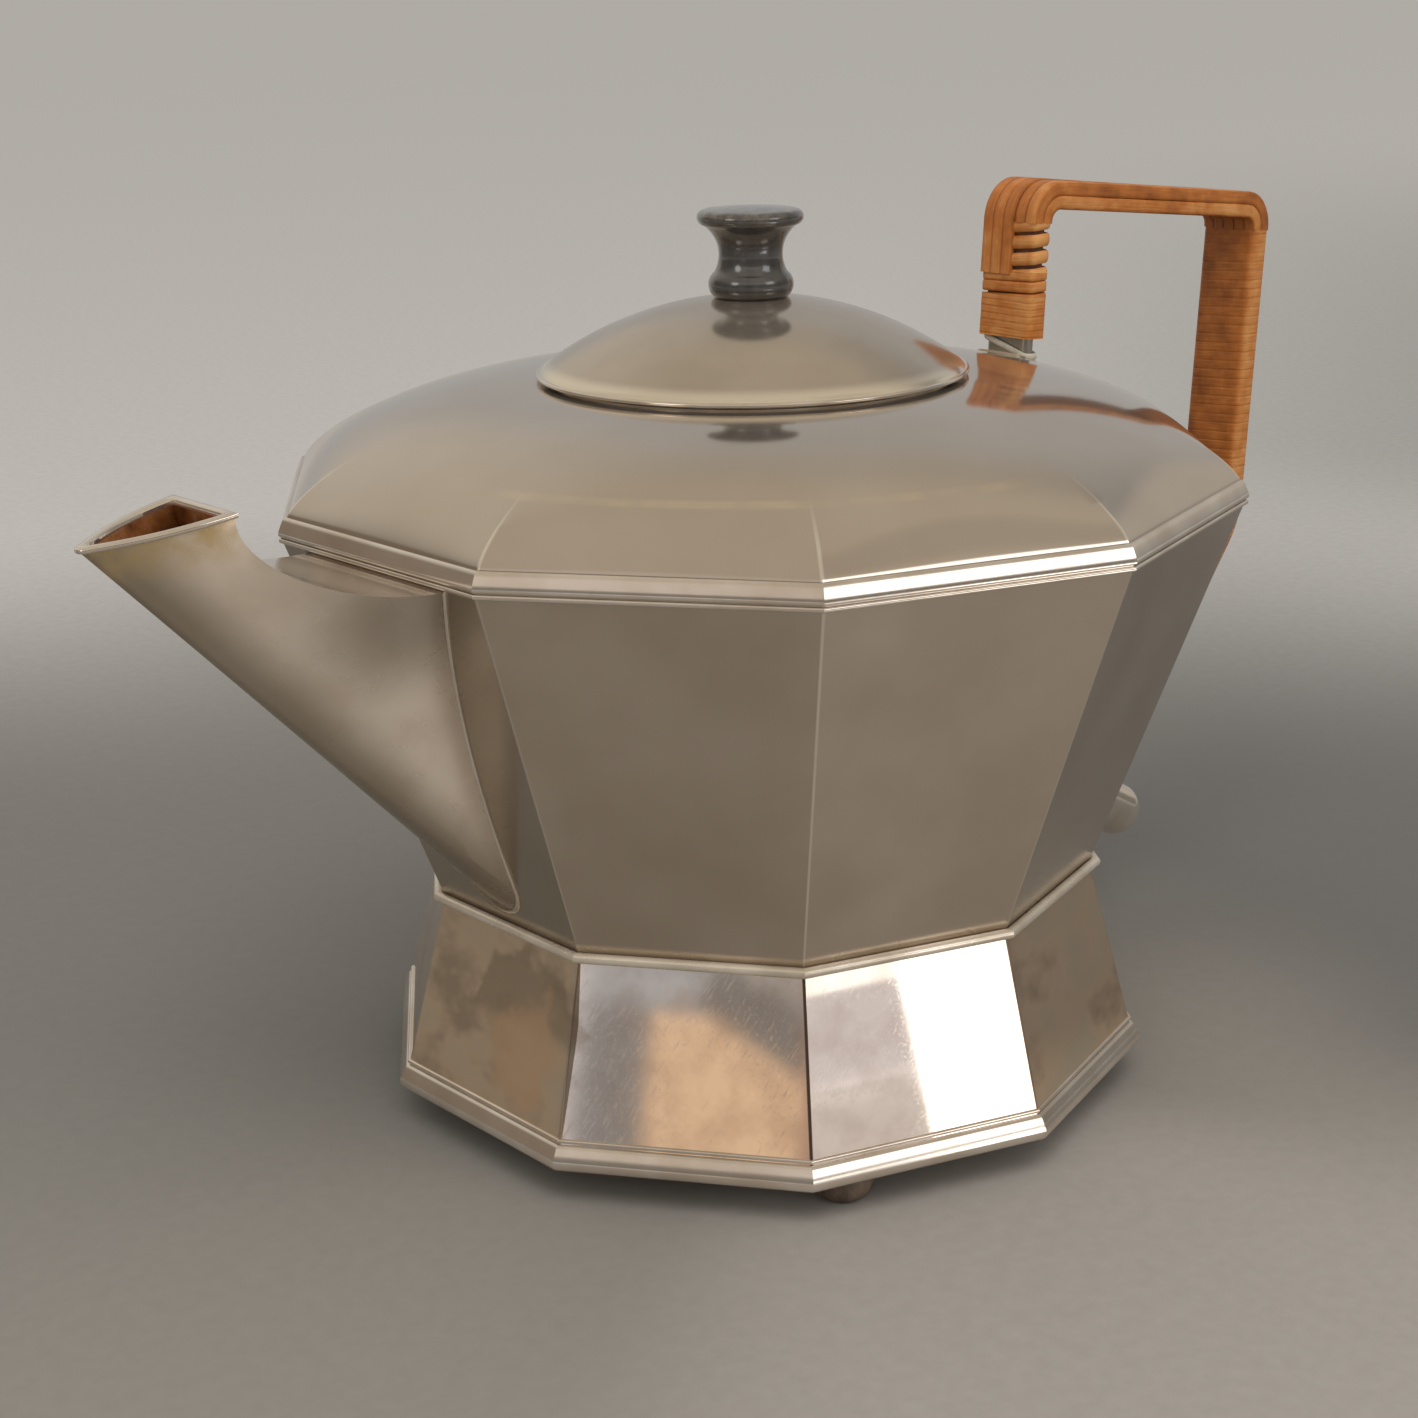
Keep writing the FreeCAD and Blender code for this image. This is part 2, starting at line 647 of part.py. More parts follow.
# The arm: tapered, with a round end, socketed for the strap's tenon and cross-pinned
arm_body = Part.makeCone(
    arm_radius(-2 * sheet), arm_tip_radius, arm_length + 2 * sheet, arm_root - arm_axis * (2 * sheet), arm_axis
)
arm_solid = arm_body.fuse(Part.makeSphere(arm_tip_radius, arm_tip)).removeSplitter()
arm_solid = arm_solid.cut(vessel_outside)
socket_path = [Part.makeLine(tenon_tip + lower_run * solder_gap, tenon_tip - lower_run * (3 * arm_tip_radius))]
socket = sweep(
    socket_path,
    strap_section(
        socket_path, strap_width + 2 * solder_gap, strap_thickness + 2 * solder_gap, strap_edge_radius + solder_gap
    ),
)
save("handle_arm", arm_solid.cut(socket).cut(pin_hole))
pin_half = math.sqrt(seat_radius_on_arm**2 - (seat_radius_on_arm - tenon_depth * 0.55) ** 2)
pin_centre = arm_seat - lower_run * (seat_radius_on_arm - tenon_depth * 0.55)
save(
    "handle_pin",
    Part.makeCylinder(handle_pin_radius, 2 * pin_half, pin_centre - Vector(0, pin_half, 0), Vector(0, 1, 0)),
)

# Cane sleeves over the top bar, the rear leg and the lower run
sleeve_width = strap_width + 2 * (cane + cane_clearance)
sleeve_thickness = strap_thickness + 2 * (cane + cane_clearance)


def sleeve(edges):
    """Cane over a stretch of the strap, with the strap's own passage through it."""
    outside = sweep(edges, strap_section(edges, sleeve_width, sleeve_thickness, cane_edge_radius))
    inside_section = strap_section(
        edges,
        strap_width + 2 * cane_clearance,
        strap_thickness + 2 * cane_clearance,
        strap_edge_radius + cane_clearance,
    )
    return outside.cut(sweep(edges, inside_section))


front_run, front_bend, top_run, top_bend, rear_run, rear_turn, low_run = strap_edges


def shortened(edge, at_start, at_end):
    start = edge.valueAt(edge.FirstParameter)
    end = edge.valueAt(edge.LastParameter)
    along = (end - start).normalize()
    return Part.makeLine(start + along * at_start, end - along * at_end)


lower_bare = bare_lower_strap + tenon_depth
save("cane_top", sleeve([front_bend, top_run, top_bend]))
save("cane_rear", sleeve([shortened(rear_run, cane_joint_gap, cane_joint_gap)]))
save("cane_lower", sleeve([rear_turn, shortened(low_run, 0, lower_bare)]))


# Cane round the front leg: one unbroken strand wound in open turns
def arc_from(start, tangent, end):
    """The arc that leaves a point along a tangent and reaches another point, as three points."""
    chord = end - start
    along = Vector(chord).normalize()
    side = tangent - along * tangent.dot(along)
    lean = math.atan2(side.Length, tangent.dot(along))
    if lean < 1e-6:
        return Part.makeLine(start, end)
    bulge = side.normalize() * (chord.Length / 2 * math.tan(lean / 2))
    return Part.Arc(start, (start + end) * 0.5 + bulge, end).toShape()


def biarc(start, start_tangent, end, end_tangent):
    """Two arcs that join two points with given tangents."""
    span = end - start
    both = start_tangent + end_tangent
    spread = 2 * (1 - start_tangent.dot(end_tangent))
    reach_along = span.dot(both)
    arm_size = (-reach_along + math.sqrt(reach_along**2 + spread * span.dot(span))) / spread
    joint = (start + end + (start_tangent - end_tangent) * arm_size) * 0.5
    first = arc_from(start, start_tangent, joint)
    joint_tangent = first.tangentAt(first.LastParameter)
    return [first, arc_from(joint, joint_tangent, end)]


strand_radius = cane / 2
front_start = leg_buried + bare_strap + strand_radius
front_end = front_run.Length - cane_joint_gap - strand_radius
cane_pitch = (front_end - front_start) / cane_turns
turn_depth = strap_thickness / 2 + strand_radius + cane_clearance * 4
turn_breadth = strap_width / 2 + strand_radius + cane_clearance
quarter_climb = cane_pitch / 4
leg_back = Vector(leg_axis.z, 0, -leg_axis.x)
leg_side = Vector(0, 1, 0)
stations = [
    (leg_back * -turn_depth, leg_side * -1),
    (leg_side * -turn_breadth, leg_back),
    (leg_back * turn_depth, leg_side),
    (leg_side * turn_breadth, leg_back * -1),
]
slope_of_turn = quarter_climb / math.hypot(turn_depth, turn_breadth)


def winding_station(index):
    place, heading = stations[index % 4]
    point = strap_foot + leg_axis * (front_start + quarter_climb * index) + place
    return point, (heading + leg_axis * slope_of_turn).normalize()


winding_edges = []
first_point, first_heading = winding_station(0)
winding_edges.append(Part.makeLine(first_point - first_heading * cane, first_point))
for index in range(4 * cane_turns):
    here, heading_here = winding_station(index)
    there, heading_there = winding_station(index + 1)
    winding_edges += biarc(here, heading_here, there, heading_there)
last_point, last_heading = winding_station(4 * cane_turns)
winding_edges.append(Part.makeLine(last_point, last_point + last_heading * cane))
strand_section = Part.Wire(Part.makeCircle(strand_radius, first_point - first_heading * cane, first_heading))
save("cane_front", sweep(winding_edges, strand_section))


def least_gap(edges, diameter, samples, skip):
    """The least clear distance between stretches of a strand that are a number of samples apart."""
    points = []
    for edge in edges:
        span = edge.LastParameter - edge.FirstParameter
        points += [edge.valueAt(edge.FirstParameter + span * k / samples) for k in range(samples)]
    gaps = []
    for index, point in enumerate(points):
        gaps += [point.distanceToPoint(other) for other in points[index + skip : index + 6 * skip]]
    return min(gaps) - diameter


winding_gap = least_gap(winding_edges, cane, 5, 20)
print(f"cane_front: {cane_turns} turns, least gap to itself {winding_gap:.2f} mm")

# The origin goes half way along the pot's length
whole = Part.makeCompound(list(pieces.values())).optimalBoundingBox(False, False)
middle_x = (whole.XMin + whole.XMax) / 2
os.makedirs("parts", exist_ok=True)
for name, shape in pieces.items():
    shape.translated(Vector(-middle_x, 0, 0)).exportStep(f"parts/{name}.step")
print(f"the body's axis is at x {-middle_x:.3f} mm")
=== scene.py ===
import math

import bpy
import numpy as np
from mathutils import Matrix, Vector


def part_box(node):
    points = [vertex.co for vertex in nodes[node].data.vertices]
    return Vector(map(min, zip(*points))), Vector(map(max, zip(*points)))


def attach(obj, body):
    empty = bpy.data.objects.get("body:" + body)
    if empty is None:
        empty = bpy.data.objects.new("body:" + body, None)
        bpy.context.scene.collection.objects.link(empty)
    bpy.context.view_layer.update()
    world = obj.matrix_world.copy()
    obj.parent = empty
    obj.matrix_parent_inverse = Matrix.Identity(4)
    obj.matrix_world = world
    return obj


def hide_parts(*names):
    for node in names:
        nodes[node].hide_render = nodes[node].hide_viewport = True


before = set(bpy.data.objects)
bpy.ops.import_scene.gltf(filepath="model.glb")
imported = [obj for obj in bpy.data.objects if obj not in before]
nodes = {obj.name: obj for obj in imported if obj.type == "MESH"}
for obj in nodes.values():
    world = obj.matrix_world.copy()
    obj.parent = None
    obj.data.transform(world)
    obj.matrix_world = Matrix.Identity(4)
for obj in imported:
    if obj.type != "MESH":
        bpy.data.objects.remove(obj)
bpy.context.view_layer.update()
scene = bpy.context.scene
MM = 0.001

# The fine meshes are drawn round the body's axis, which lies towards the spout from the origin
wall_low, wall_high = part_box("vessel_wall")
AXIS_X = (wall_low[0] + wall_high[0]) / 2

# Sizes that the fine meshes share with the CAD part, in millimetres
FACETS = 10
HALF_FACET = math.pi / FACETS
SHEET = 1.0
SOLDER_GAP = 0.05
WAIST_Z, WAIST_A = 38.2, 54.1
BRIM_Z, BRIM_A = 101.3, 76.1
RIM_Z, RIM_A = 104.2, 74.9
FOOT_Z, FOOT_A = 5.4, 62.4
SEAT_Z, SEAT_R = 119.8, 33.4
MOUTH_R = 31.3
WALL_SLOPE = (BRIM_A - WAIST_A) / (BRIM_Z - WAIST_Z)
SKIRT_SLOPE = (FOOT_A - WAIST_A) / (WAIST_Z - FOOT_Z)
LID_R, LID_RISE = 35.0, 11.6
LID_RIM, LID_RIM_INNER = 0.7, 28.8
LID_SEAT_Z = SEAT_Z + SOLDER_GAP + SHEET / 2
LID_EDGE_Z = LID_SEAT_Z + LID_RIM
LID_BALL = (LID_R**2 + LID_RISE**2) / (2 * LID_RISE)
DOME_TOP = LID_EDGE_Z + LID_RISE
STUD_HOLE = 1.55

# The lines between the facets: the radius their widths are meant at, how far below their upper end they
# start to fade, and an upper end above the pot for lines that don't fade
MEAN_RADIUS = 68.0
LINE_FADE = 7.0
NO_FADE = 140.0


def direction(azimuth, elevation):
    a, e = math.radians(azimuth), math.radians(elevation)
    return (math.cos(e) * math.cos(a), math.cos(e) * math.sin(a), math.sin(e))


# Materials
class Shader:
    """A small builder for one material's nodes."""

    def __init__(self, name):
        self.material = bpy.data.materials.new(name)
        self.material.use_nodes = True
        self.tree = self.material.node_tree
        self.bsdf = self.tree.nodes["Principled BSDF"]

    def node(self, kind):
        return self.tree.nodes.new(kind)

    def put(self, socket, value):
        if isinstance(value, bpy.types.NodeSocket):
            self.tree.links.new(value, socket)
        else:
            socket.default_value = value

    def set(self, **inputs):
        for key, value in inputs.items():
            self.put(self.bsdf.inputs[key.replace("_", " ")], value)

    def colour(self):
        """The base colour set so far."""
        return self.bsdf.inputs["Base Color"].links[0].from_socket

    def position(self):
        return self.node("ShaderNodeTexCoord").outputs["Object"]

    def place(self, long, turn):
        """Object coordinates for a texture that is drawn out by long along axes turned by turn."""
        mapping = self.node("ShaderNodeMapping")
        mapping.vector_type = "TEXTURE"
        mapping.inputs["Rotation"].default_value = turn
        mapping.inputs["Scale"].default_value = long
        self.put(mapping.inputs["Vector"], self.position())
        return mapping.outputs["Vector"]

    def noise(self, size_mm, detail=3.0, rough=0.55, long=(1, 1, 1), turn=(0, 0, 0)):
        made = self.node("ShaderNodeTexNoise")
        made.inputs["Scale"].default_value = 1.0 / (size_mm * MM)
        made.inputs["Detail"].default_value = detail
        made.inputs["Roughness"].default_value = rough
        self.put(made.inputs["Vector"], self.place(long, turn))
        return made.outputs["Fac"]

    def ramp(self, value, *stops):
        """Colours at places from 0 to 1."""
        made = self.node("ShaderNodeValToRGB")
        band = made.color_ramp
        while len(band.elements) < len(stops):
            band.elements.new(0.5)
        for element, (place, colour) in zip(band.elements, stops):
            element.position = place
            element.color = (*colour, 1)
        self.put(made.inputs["Fac"], value)
        return made.outputs["Color"]

    def grey(self, value, low, high, from_low=0.0, from_high=1.0):
        """A value from low to high, as the given value goes from from_low to from_high."""
        made = self.node("ShaderNodeMapRange")
        numbers = {"Value": value, "From Min": from_low, "From Max": from_high, "To Min": low, "To Max": high}
        for key, number in numbers.items():
            self.put(made.inputs[key], number)
        return made.outputs["Result"]

    def step_up(self, value, low, high):
        """A smooth step from 0 to 1 between two values."""
        made = self.node("ShaderNodeMapRange")
        made.interpolation_type = "SMOOTHSTEP"
        for key, number in {"Value": value, "From Min": low, "From Max": high}.items():
            self.put(made.inputs[key], number)
        return made.outputs["Result"]

    def mix(self, share, first, second):
        made = self.node("ShaderNodeMix")
        made.data_type = "RGBA"
        self.put(made.inputs[0], share)
        for socket, colour in ((made.inputs[6], first), (made.inputs[7], second)):
            self.put(socket, colour if isinstance(colour, bpy.types.NodeSocket) else (*colour, 1))
        return made.outputs[2]

    def math(self, operation, first, second=0.0):
        made = self.node("ShaderNodeMath")
        made.operation = operation
        self.put(made.inputs[0], first)
        self.put(made.inputs[1], second)
        return made.outputs[0]

    def times(self, first, second):
        return self.math("MULTIPLY", first, second)

    def bump(self, height, strength, depth_mm):
        made = self.node("ShaderNodeBump")
        made.inputs["Strength"].default_value = strength
        made.inputs["Distance"].default_value = depth_mm * MM
        self.put(made.inputs["Height"], height)
        return made.outputs["Normal"]

    def vector(self, operation, first, second=None):
        """The outputs of an operation on one vector, or on a vector and a fixed one."""
        made = self.node("ShaderNodeVectorMath")
        made.operation = operation
        self.put(made.inputs[0], first)
        if second is not None:
            made.inputs[1].default_value = second
        return made.outputs

    def along(self, vector, axis):
        return self.vector("DOT_PRODUCT", vector, axis)["Value"]

    def join(self, **parts):
        """A vector from any of its X, Y and Z."""
        made = self.node("ShaderNodeCombineXYZ")
        for key, value in parts.items():
            self.put(made.inputs[key], value)
        return made.outputs["Vector"]

    def from_axis(self):
        """Distances from the body's axis along X and Y, and the height, in metres."""
        split = self.node("ShaderNodeSeparateXYZ")
        self.put(split.inputs[0], self.position())
        return self.math("SUBTRACT", split.outputs["X"], AXIS_X), split.outputs["Y"], split.outputs["Z"]

    def facing(self, azimuth):
        """1 on the side of the body that faces an azimuth, falling to -1 on the other side."""
        x, y, _ = self.from_axis()
        outward = self.vector("NORMALIZE", self.join(X=x, Y=y))["Vector"]
        return self.along(outward, direction(azimuth, 0))

    def facet_lines(self, width_mm):
        """1 on the lines between the facets, 0 beside them."""
        x, y, _ = self.from_axis()
        turn = self.math("FRACT", self.math("DIVIDE", self.math("ARCTAN2", y, x), 2 * HALF_FACET))
        off = self.math("ABSOLUTE", self.math("SUBTRACT", turn, 0.5))
        share = width_mm / (2 * HALF_FACET * MEAN_RADIUS)
        return self.step_up(off, share, share / 3)


def silver(name, bright, tarnish, polish, metal, clouds_mm, wave, scuff=0.02, lines=None, speck=0.12):
    """Silver plate: a warm grey metal with tarnish clouds, fine scuffs and hand-worked waves.
    lines gives the colour and width of the lines between the facets, and the height where they end;
    speck is how strongly small marks show."""
    s = Shader(name)
    clouds = s.noise(clouds_mm, 4, 0.5)
    specks = s.noise(1.6, 2, 0.7)
    colour = s.ramp(clouds, (0.35, tarnish), (0.62, bright))
    colour = s.mix(s.grey(specks, 0.0, speck, 0.66, 0.85), colour, tarnish)
    if lines:
        line_colour, width, top = lines
        below_top = s.step_up(s.from_axis()[2], top * MM, (top - LINE_FADE) * MM)
        colour = s.mix(s.times(s.facet_lines(width), below_top), colour, line_colour)
    scuffs = s.noise(0.45, 3, 0.6, (1, 1, 8), (0.5, 0.35, 0.6))
    cross_scuffs = s.noise(0.5, 3, 0.6, (9, 1, 1), (0.2, 0.6, 0.9))
    both = s.math("MAXIMUM", scuffs, cross_scuffs)
    dull = s.grey(clouds, polish * 1.3, polish * 0.8, 0.3, 0.7)
    roughness = s.math("ADD", dull, s.grey(both, 0.0, scuff, 0.55, 0.8))
    normal = s.bump(s.noise(40, 1, 0.4), wave, 0.4)
    s.set(Base_Color=colour, Metallic=metal, Roughness=roughness, Normal=normal)
    return s


def body_silver():
    """The wall's silver, with painted shade on the spout's facet, round and under the spout's root."""
    bright, tarnish = (0.61, 0.53, 0.445), (0.535, 0.455, 0.37)
    # The pale lines between the facets are a painted highlight along the creases
    lines = ((0.76, 0.68, 0.59), 0.28, NO_FADE)
    s = silver("silver_body", bright, tarnish, 0.19, 0.9, 22, 0.1, lines=lines, speck=0.3)
    x, y, _ = s.from_axis()
    half_width = s.times(x, -math.tan(HALF_FACET))
    spout_facet = s.step_up(s.math("DIVIDE", s.math("ABSOLUTE", y), half_width), 1.01, 0.99)
    # Painted shade: the spout's facet, under and beside the spout, is darkened towards a brown grey
    spout_facet_shade = s.times(spout_facet, s.step_up(x, -0.04, -0.045))
    s.set(Base_Color=s.mix(s.times(spout_facet_shade, 0.45), s.colour(), (0.36, 0.31, 0.24)))
    return s.material


def top_silver():
    """The shoulder's silver, with a yellow line of tarnish where the facets fade into the dome."""
    bright, tarnish = (0.65, 0.575, 0.495), (0.61, 0.53, 0.445)
    # The pale lines between the facets, which fade out towards the dome, are a painted highlight along the
    # creases
    lines = ((0.86, 0.79, 0.70), 0.36, 114)
    s = silver("silver_top", bright, tarnish, 0.09, 0.9, 26, 0.03, lines=lines)
    tarnish_z = 0.1126
    off = s.math("ABSOLUTE", s.math("SUBTRACT", s.from_axis()[2], tarnish_z))
    worn = s.grey(s.noise(9, 4), 0.1, 0.6, 0.35, 0.65)
    front = s.step_up(s.facing(230), 0.80, 0.87)
    line = s.times(s.times(s.step_up(off, 0.0006, 0.0002), worn), front)
    s.set(Base_Color=s.mix(line, s.colour(), (0.80, 0.69, 0.50)))
    return s.material


def foot_silver():
    """The foot's polished silver, with dark corner lines and a painted brown reflection on the facets towards
    spout and handle.
    """
    bright, tarnish = (0.81, 0.725, 0.635), (0.69, 0.60, 0.52)
    lines = ((0.3, 0.2, 0.15), 0.4, NO_FADE)
    s = silver("silver_foot", bright, tarnish, 0.042, 0.95, 6, 0.04, 0.07, lines)
    # Painted reflection: brown, mottled colour on the facets that turn away from the front
    turned = s.step_up(s.facing(234), 0.83, 0.79)
    stains = s.noise(13, 4, 0.6, (1.6, 1.6, 1))
    brown = s.ramp(stains, (0.36, (0.62, 0.46, 0.32)), (0.5, (0.98, 0.74, 0.52)), (0.66, (0.84, 0.72, 0.54)))
    colour = s.mix(s.times(turned, 0.85), s.colour(), brown)

    # A painted copper-coloured reflection with a dark edge above it, below the spout
    x, y, z = s.from_axis()
    copper_reflection_place = (-0.0585, -0.008, 0.021)
    reach = s.vector("DISTANCE", s.join(X=x, Y=y, Z=z), copper_reflection_place)["Value"]
    off = s.math("ADD", reach, s.grey(s.noise(7, 3), -0.003, 0.003, 0.3, 0.7))
    edge = s.times(s.step_up(off, 0.0155, 0.0125), s.step_up(z, 0.022, 0.026))
    colour = s.mix(s.times(edge, 0.6), colour, (0.42, 0.31, 0.22))
    colour = s.mix(s.times(s.step_up(off, 0.0105, 0.006), 0.75), colour, (1.0, 0.66, 0.42))
    s.set(Base_Color=colour)
    return s.material


def spout_silver():
    """The spout's silver: painted shade along the keel and at the root, stained yellow under the lip."""
    bright, tarnish = (0.93, 0.82, 0.70), (0.80, 0.68, 0.56)
    s = silver("silver_spout", bright, tarnish, 0.26, 0.64, 12, 0.1, 0.0, speck=0.0)
    x, _, z = s.from_axis()
    spot = s.join(X=x, Z=z)
    # Painted shade along the keel
    above_keel = s.math("ADD", s.along(spot, (0.721, 0, 0.694)), 0.0111)
    keel_shade = s.times(s.step_up(above_keel, 0.0085, 0.0005), 0.85)
    colour = s.mix(keel_shade, s.colour(), (0.25, 0.205, 0.145))
    # Painted shade at the root, where the spout meets the wall
    from_root = s.vector("DISTANCE", spot, (-0.080, 0, 0.098))["Value"]
    root_shade = s.times(s.step_up(from_root, 0.018, 0.003), 0.7)
    colour = s.mix(root_shade, colour, (0.27, 0.23, 0.18))
    below_lip = s.math("ADD", s.along(spot, (0.151, 0, -0.989)), 0.128)
    stain = s.times(s.step_up(below_lip, 0.008, 0.001), s.grey(s.noise(4, 4), 0.2, 0.9, 0.35, 0.65))
    s.set(Base_Color=s.mix(stain, colour, (0.62, 0.45, 0.22)))
    return s.material


def lid_silver():
    """The lid's silver, with a painted highlight round its edge."""
    s = silver("silver_lid", (0.58, 0.505, 0.42), (0.52, 0.45, 0.37), 0.15, 0.86, 14, 0.04)
    x, y, _ = s.from_axis()
    radius = s.vector("LENGTH", s.join(X=x, Y=y))["Value"]
    # Painted highlight: paler round the lid's edge
    s.set(Base_Color=s.mix(s.step_up(radius, 0.0322, 0.0342), s.colour(), (0.86, 0.775, 0.635)))
    return s.material


def tarnished(name):
    """The dull, brown-stained silver inside the spout and the vessel."""
    s = Shader(name)
    stains = s.noise(7, 5, 0.65)
    dark, middle, light = (0.05, 0.018, 0.006), (0.33, 0.12, 0.035), (0.55, 0.33, 0.17)
    s.set(
        Base_Color=s.ramp(stains, (0.3, dark), (0.5, middle), (0.72, light)),
        Metallic=0.55,
        Roughness=s.grey(stains, 0.55, 0.3),
        Normal=s.bump(stains, 0.25, 0.3),
    )
    return s.material


def wood(name, dark, light, grain, roughness, coat):
    s = Shader(name)
    streaks = s.noise(2.2, 4, 0.6, grain)
    s.set(
        Base_Color=s.ramp(streaks, (0.3, dark), (0.75, light)),
        Roughness=s.grey(s.noise(1.1, 3), roughness - 0.06, roughness + 0.1),
        Coat_Weight=coat,
        Coat_Roughness=0.2,
        Normal=s.bump(streaks, 0.15, 0.15),
    )
    return s.material


def knob_finish():
    """Black-stained wood with a polish, worn to a mottled beige round the cap's edge."""
    s = Shader("knob_finish")
    streaks = s.noise(2.5, 4, 0.6, (1, 1, 4))
    stain = s.ramp(streaks, (0.3, (0.020, 0.018, 0.017)), (0.8, (0.066, 0.058, 0.055)))
    near_top = s.grey(s.from_axis()[2], 0, 1, 0.1438, 0.1462)
    wear = s.times(near_top, s.grey(s.noise(1.7, 4, 0.7), 0, 1, 0.42, 0.62))
    worn = s.ramp(s.noise(0.9, 3), (0.3, (0.075, 0.062, 0.043)), (0.7, (0.20, 0.17, 0.125)))
    s.set(
        Base_Color=s.mix(s.times(wear, 0.8), stain, worn),
        Roughness=s.grey(s.noise(1.2, 3), 0.24, 0.38),
        Coat_Weight=1.0,
        Coat_IOR=1.75,
        Coat_Roughness=0.12,
        Normal=s.bump(streaks, 0.12, 0.12),
    )
    return s.material


def cane_finish(name, dark, middle, light):
    """Varnished cane: each strand carries its own shade, which holds its tone and its painted light and
    shade, and lengthwise coordinates, in millimetres.
    """
    s = Shader(name)
    shade, strand = s.node("ShaderNodeAttribute"), s.node("ShaderNodeAttribute")
    shade.attribute_name = "shade"
    strand.attribute_name = "strand"
    stretch = s.node("ShaderNodeMapping")
    stretch.inputs["Scale"].default_value = (0.16, 3.4, 1)
    s.put(stretch.inputs["Vector"], strand.outputs["Vector"])
    fibre_noise = s.node("ShaderNodeTexNoise")
    fibre_noise.inputs["Scale"].default_value = 1.0
    fibre_noise.inputs["Detail"].default_value = 3.0
    s.put(fibre_noise.inputs["Vector"], stretch.outputs["Vector"])
    fibres = fibre_noise.outputs["Fac"]
    stains = s.noise(5, 4, 0.6)
    value = s.math("ADD", shade.outputs["Fac"], s.grey(stains, -0.18, 0.18, 0.3, 0.7))
    value = s.math("ADD", value, s.grey(fibres, -0.09, 0.09, 0.3, 0.7))
    colour = s.ramp(value, (0.0, dark), (0.5, middle), (1.0, light))
    s.set(
        Base_Color=colour,
        Roughness=s.grey(fibres, 0.42, 0.6),
        Specular_IOR_Level=0.35,
        Coat_Weight=0.12,
        Coat_Roughness=0.3,
        Normal=s.bump(fibres, 0.2, 0.06),
    )
    return s.material


SILVER = body_silver()
SILVER_TOP = top_silver()
SILVER_LID = lid_silver()
SILVER_FOOT = foot_silver()
SILVER_BEAD = silver("silver_bead", (0.86, 0.785, 0.7), (0.72, 0.63, 0.53), 0.13, 0.9, 12, 0.05, 0).material
SILVER_WIRE = silver("silver_wire", (0.88, 0.8, 0.68), (0.66, 0.57, 0.45), 0.26, 0.62, 12, 0.05, 0).material
SILVER_SPOUT = spout_silver()
SILVER_DULL = silver("silver_dull", (0.42, 0.40, 0.35), (0.3, 0.28, 0.24), 0.3, 0.85, 9, 0.05).material
STAINED = tarnished("silver_stained")
KNOB = knob_finish()
FOOT_WOOD = wood("foot_wood", (0.055, 0.038, 0.027), (0.20, 0.14, 0.10), (1, 1, 3), 0.5, 0.0)
CANE = cane_finish("cane_strands", (0.15, 0.034, 0.006), (0.47, 0.15, 0.024), (0.74, 0.38, 0.13))
# The cane's bed: its dark brown is painted shade for the gaps between the turns
CANE_BED = wood("cane_bed", (0.07, 0.024, 0.010), (0.18, 0.065, 0.022), (1, 1, 1), 0.7, 0.0)
TIE = wood("tie_thread", (0.40, 0.36, 0.28), (0.62, 0.57, 0.47), (1, 1, 1), 0.75, 0.0)
BRASS = silver("brass_dull", (0.62, 0.44, 0.17), (0.4, 0.27, 0.1), 0.3, 1.0, 20, 0.05).material


# Mesh helpers
def make_piece(name, points, faces, body, material, sharp, node=None, strands=None):
    """A mesh from points in millimetres that rides on a body. node is the CAD node it stands for, and edges
    of more than sharp degrees stay hard; strands gives each point's shade and place along the cane."""
    mesh = bpy.data.meshes.new(name)
    mesh.from_pydata([(x * MM + AXIS_X, y * MM, z * MM) for x, y, z in points], [], faces)
    mesh.update()
    mesh.shade_smooth()
    mesh.set_sharp_from_angle(angle=math.radians(sharp))
    if strands:
        shades, places = strands
        layer = mesh.attributes.new("shade", "FLOAT", "POINT")
        layer.data.foreach_set("value", np.asarray(shades, np.float32))
        layer = mesh.attributes.new("strand", "FLOAT_VECTOR", "POINT")
        layer.data.foreach_set("vector", np.asarray(places, np.float32).ravel())
    obj = bpy.data.objects.new(name, mesh)
    scene.collection.objects.link(obj)
    mesh.materials.append(material)
    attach(obj, body)
    if node:
        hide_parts(node)
    return obj


def ring_faces(rows, columns, close_rows):
    """Quads between rings of points; close_rows joins the last ring to the first."""
    faces = []
    for i in range(rows if close_rows else rows - 1):
        low, high = i * columns, (i + 1) % rows * columns
        for k in range(columns):
            m = (k + 1) % columns
            faces.append((low + k, low + m, high + m, high + k))
    return faces


def rings(name, loops, body, material, sharp, close_rows=False, node=None):
    faces = ring_faces(len(loops), len(loops[0]), close_rows)
    return make_piece(name, [p for loop in loops for p in loop], faces, body, material, sharp, node)


def pot_silver(name, loops, material, node, sharp):
    """A closed silver piece on the pot that stands for one CAD node."""
    return rings(name, loops, "pot", material, sharp, True, node)


def lid_lathe(name, profile, material, segments, node, sharp):
    """Turns a closed outline of (radius, z) points about the pot's axis, for a piece on the lid."""
    angles = np.linspace(0, 2 * math.pi, segments, endpoint=False)
    loops = [[(r * math.cos(a), r * math.sin(a), z) for a in angles] for r, z in profile]
    rings(name, loops, "lid", material, sharp, True, node)


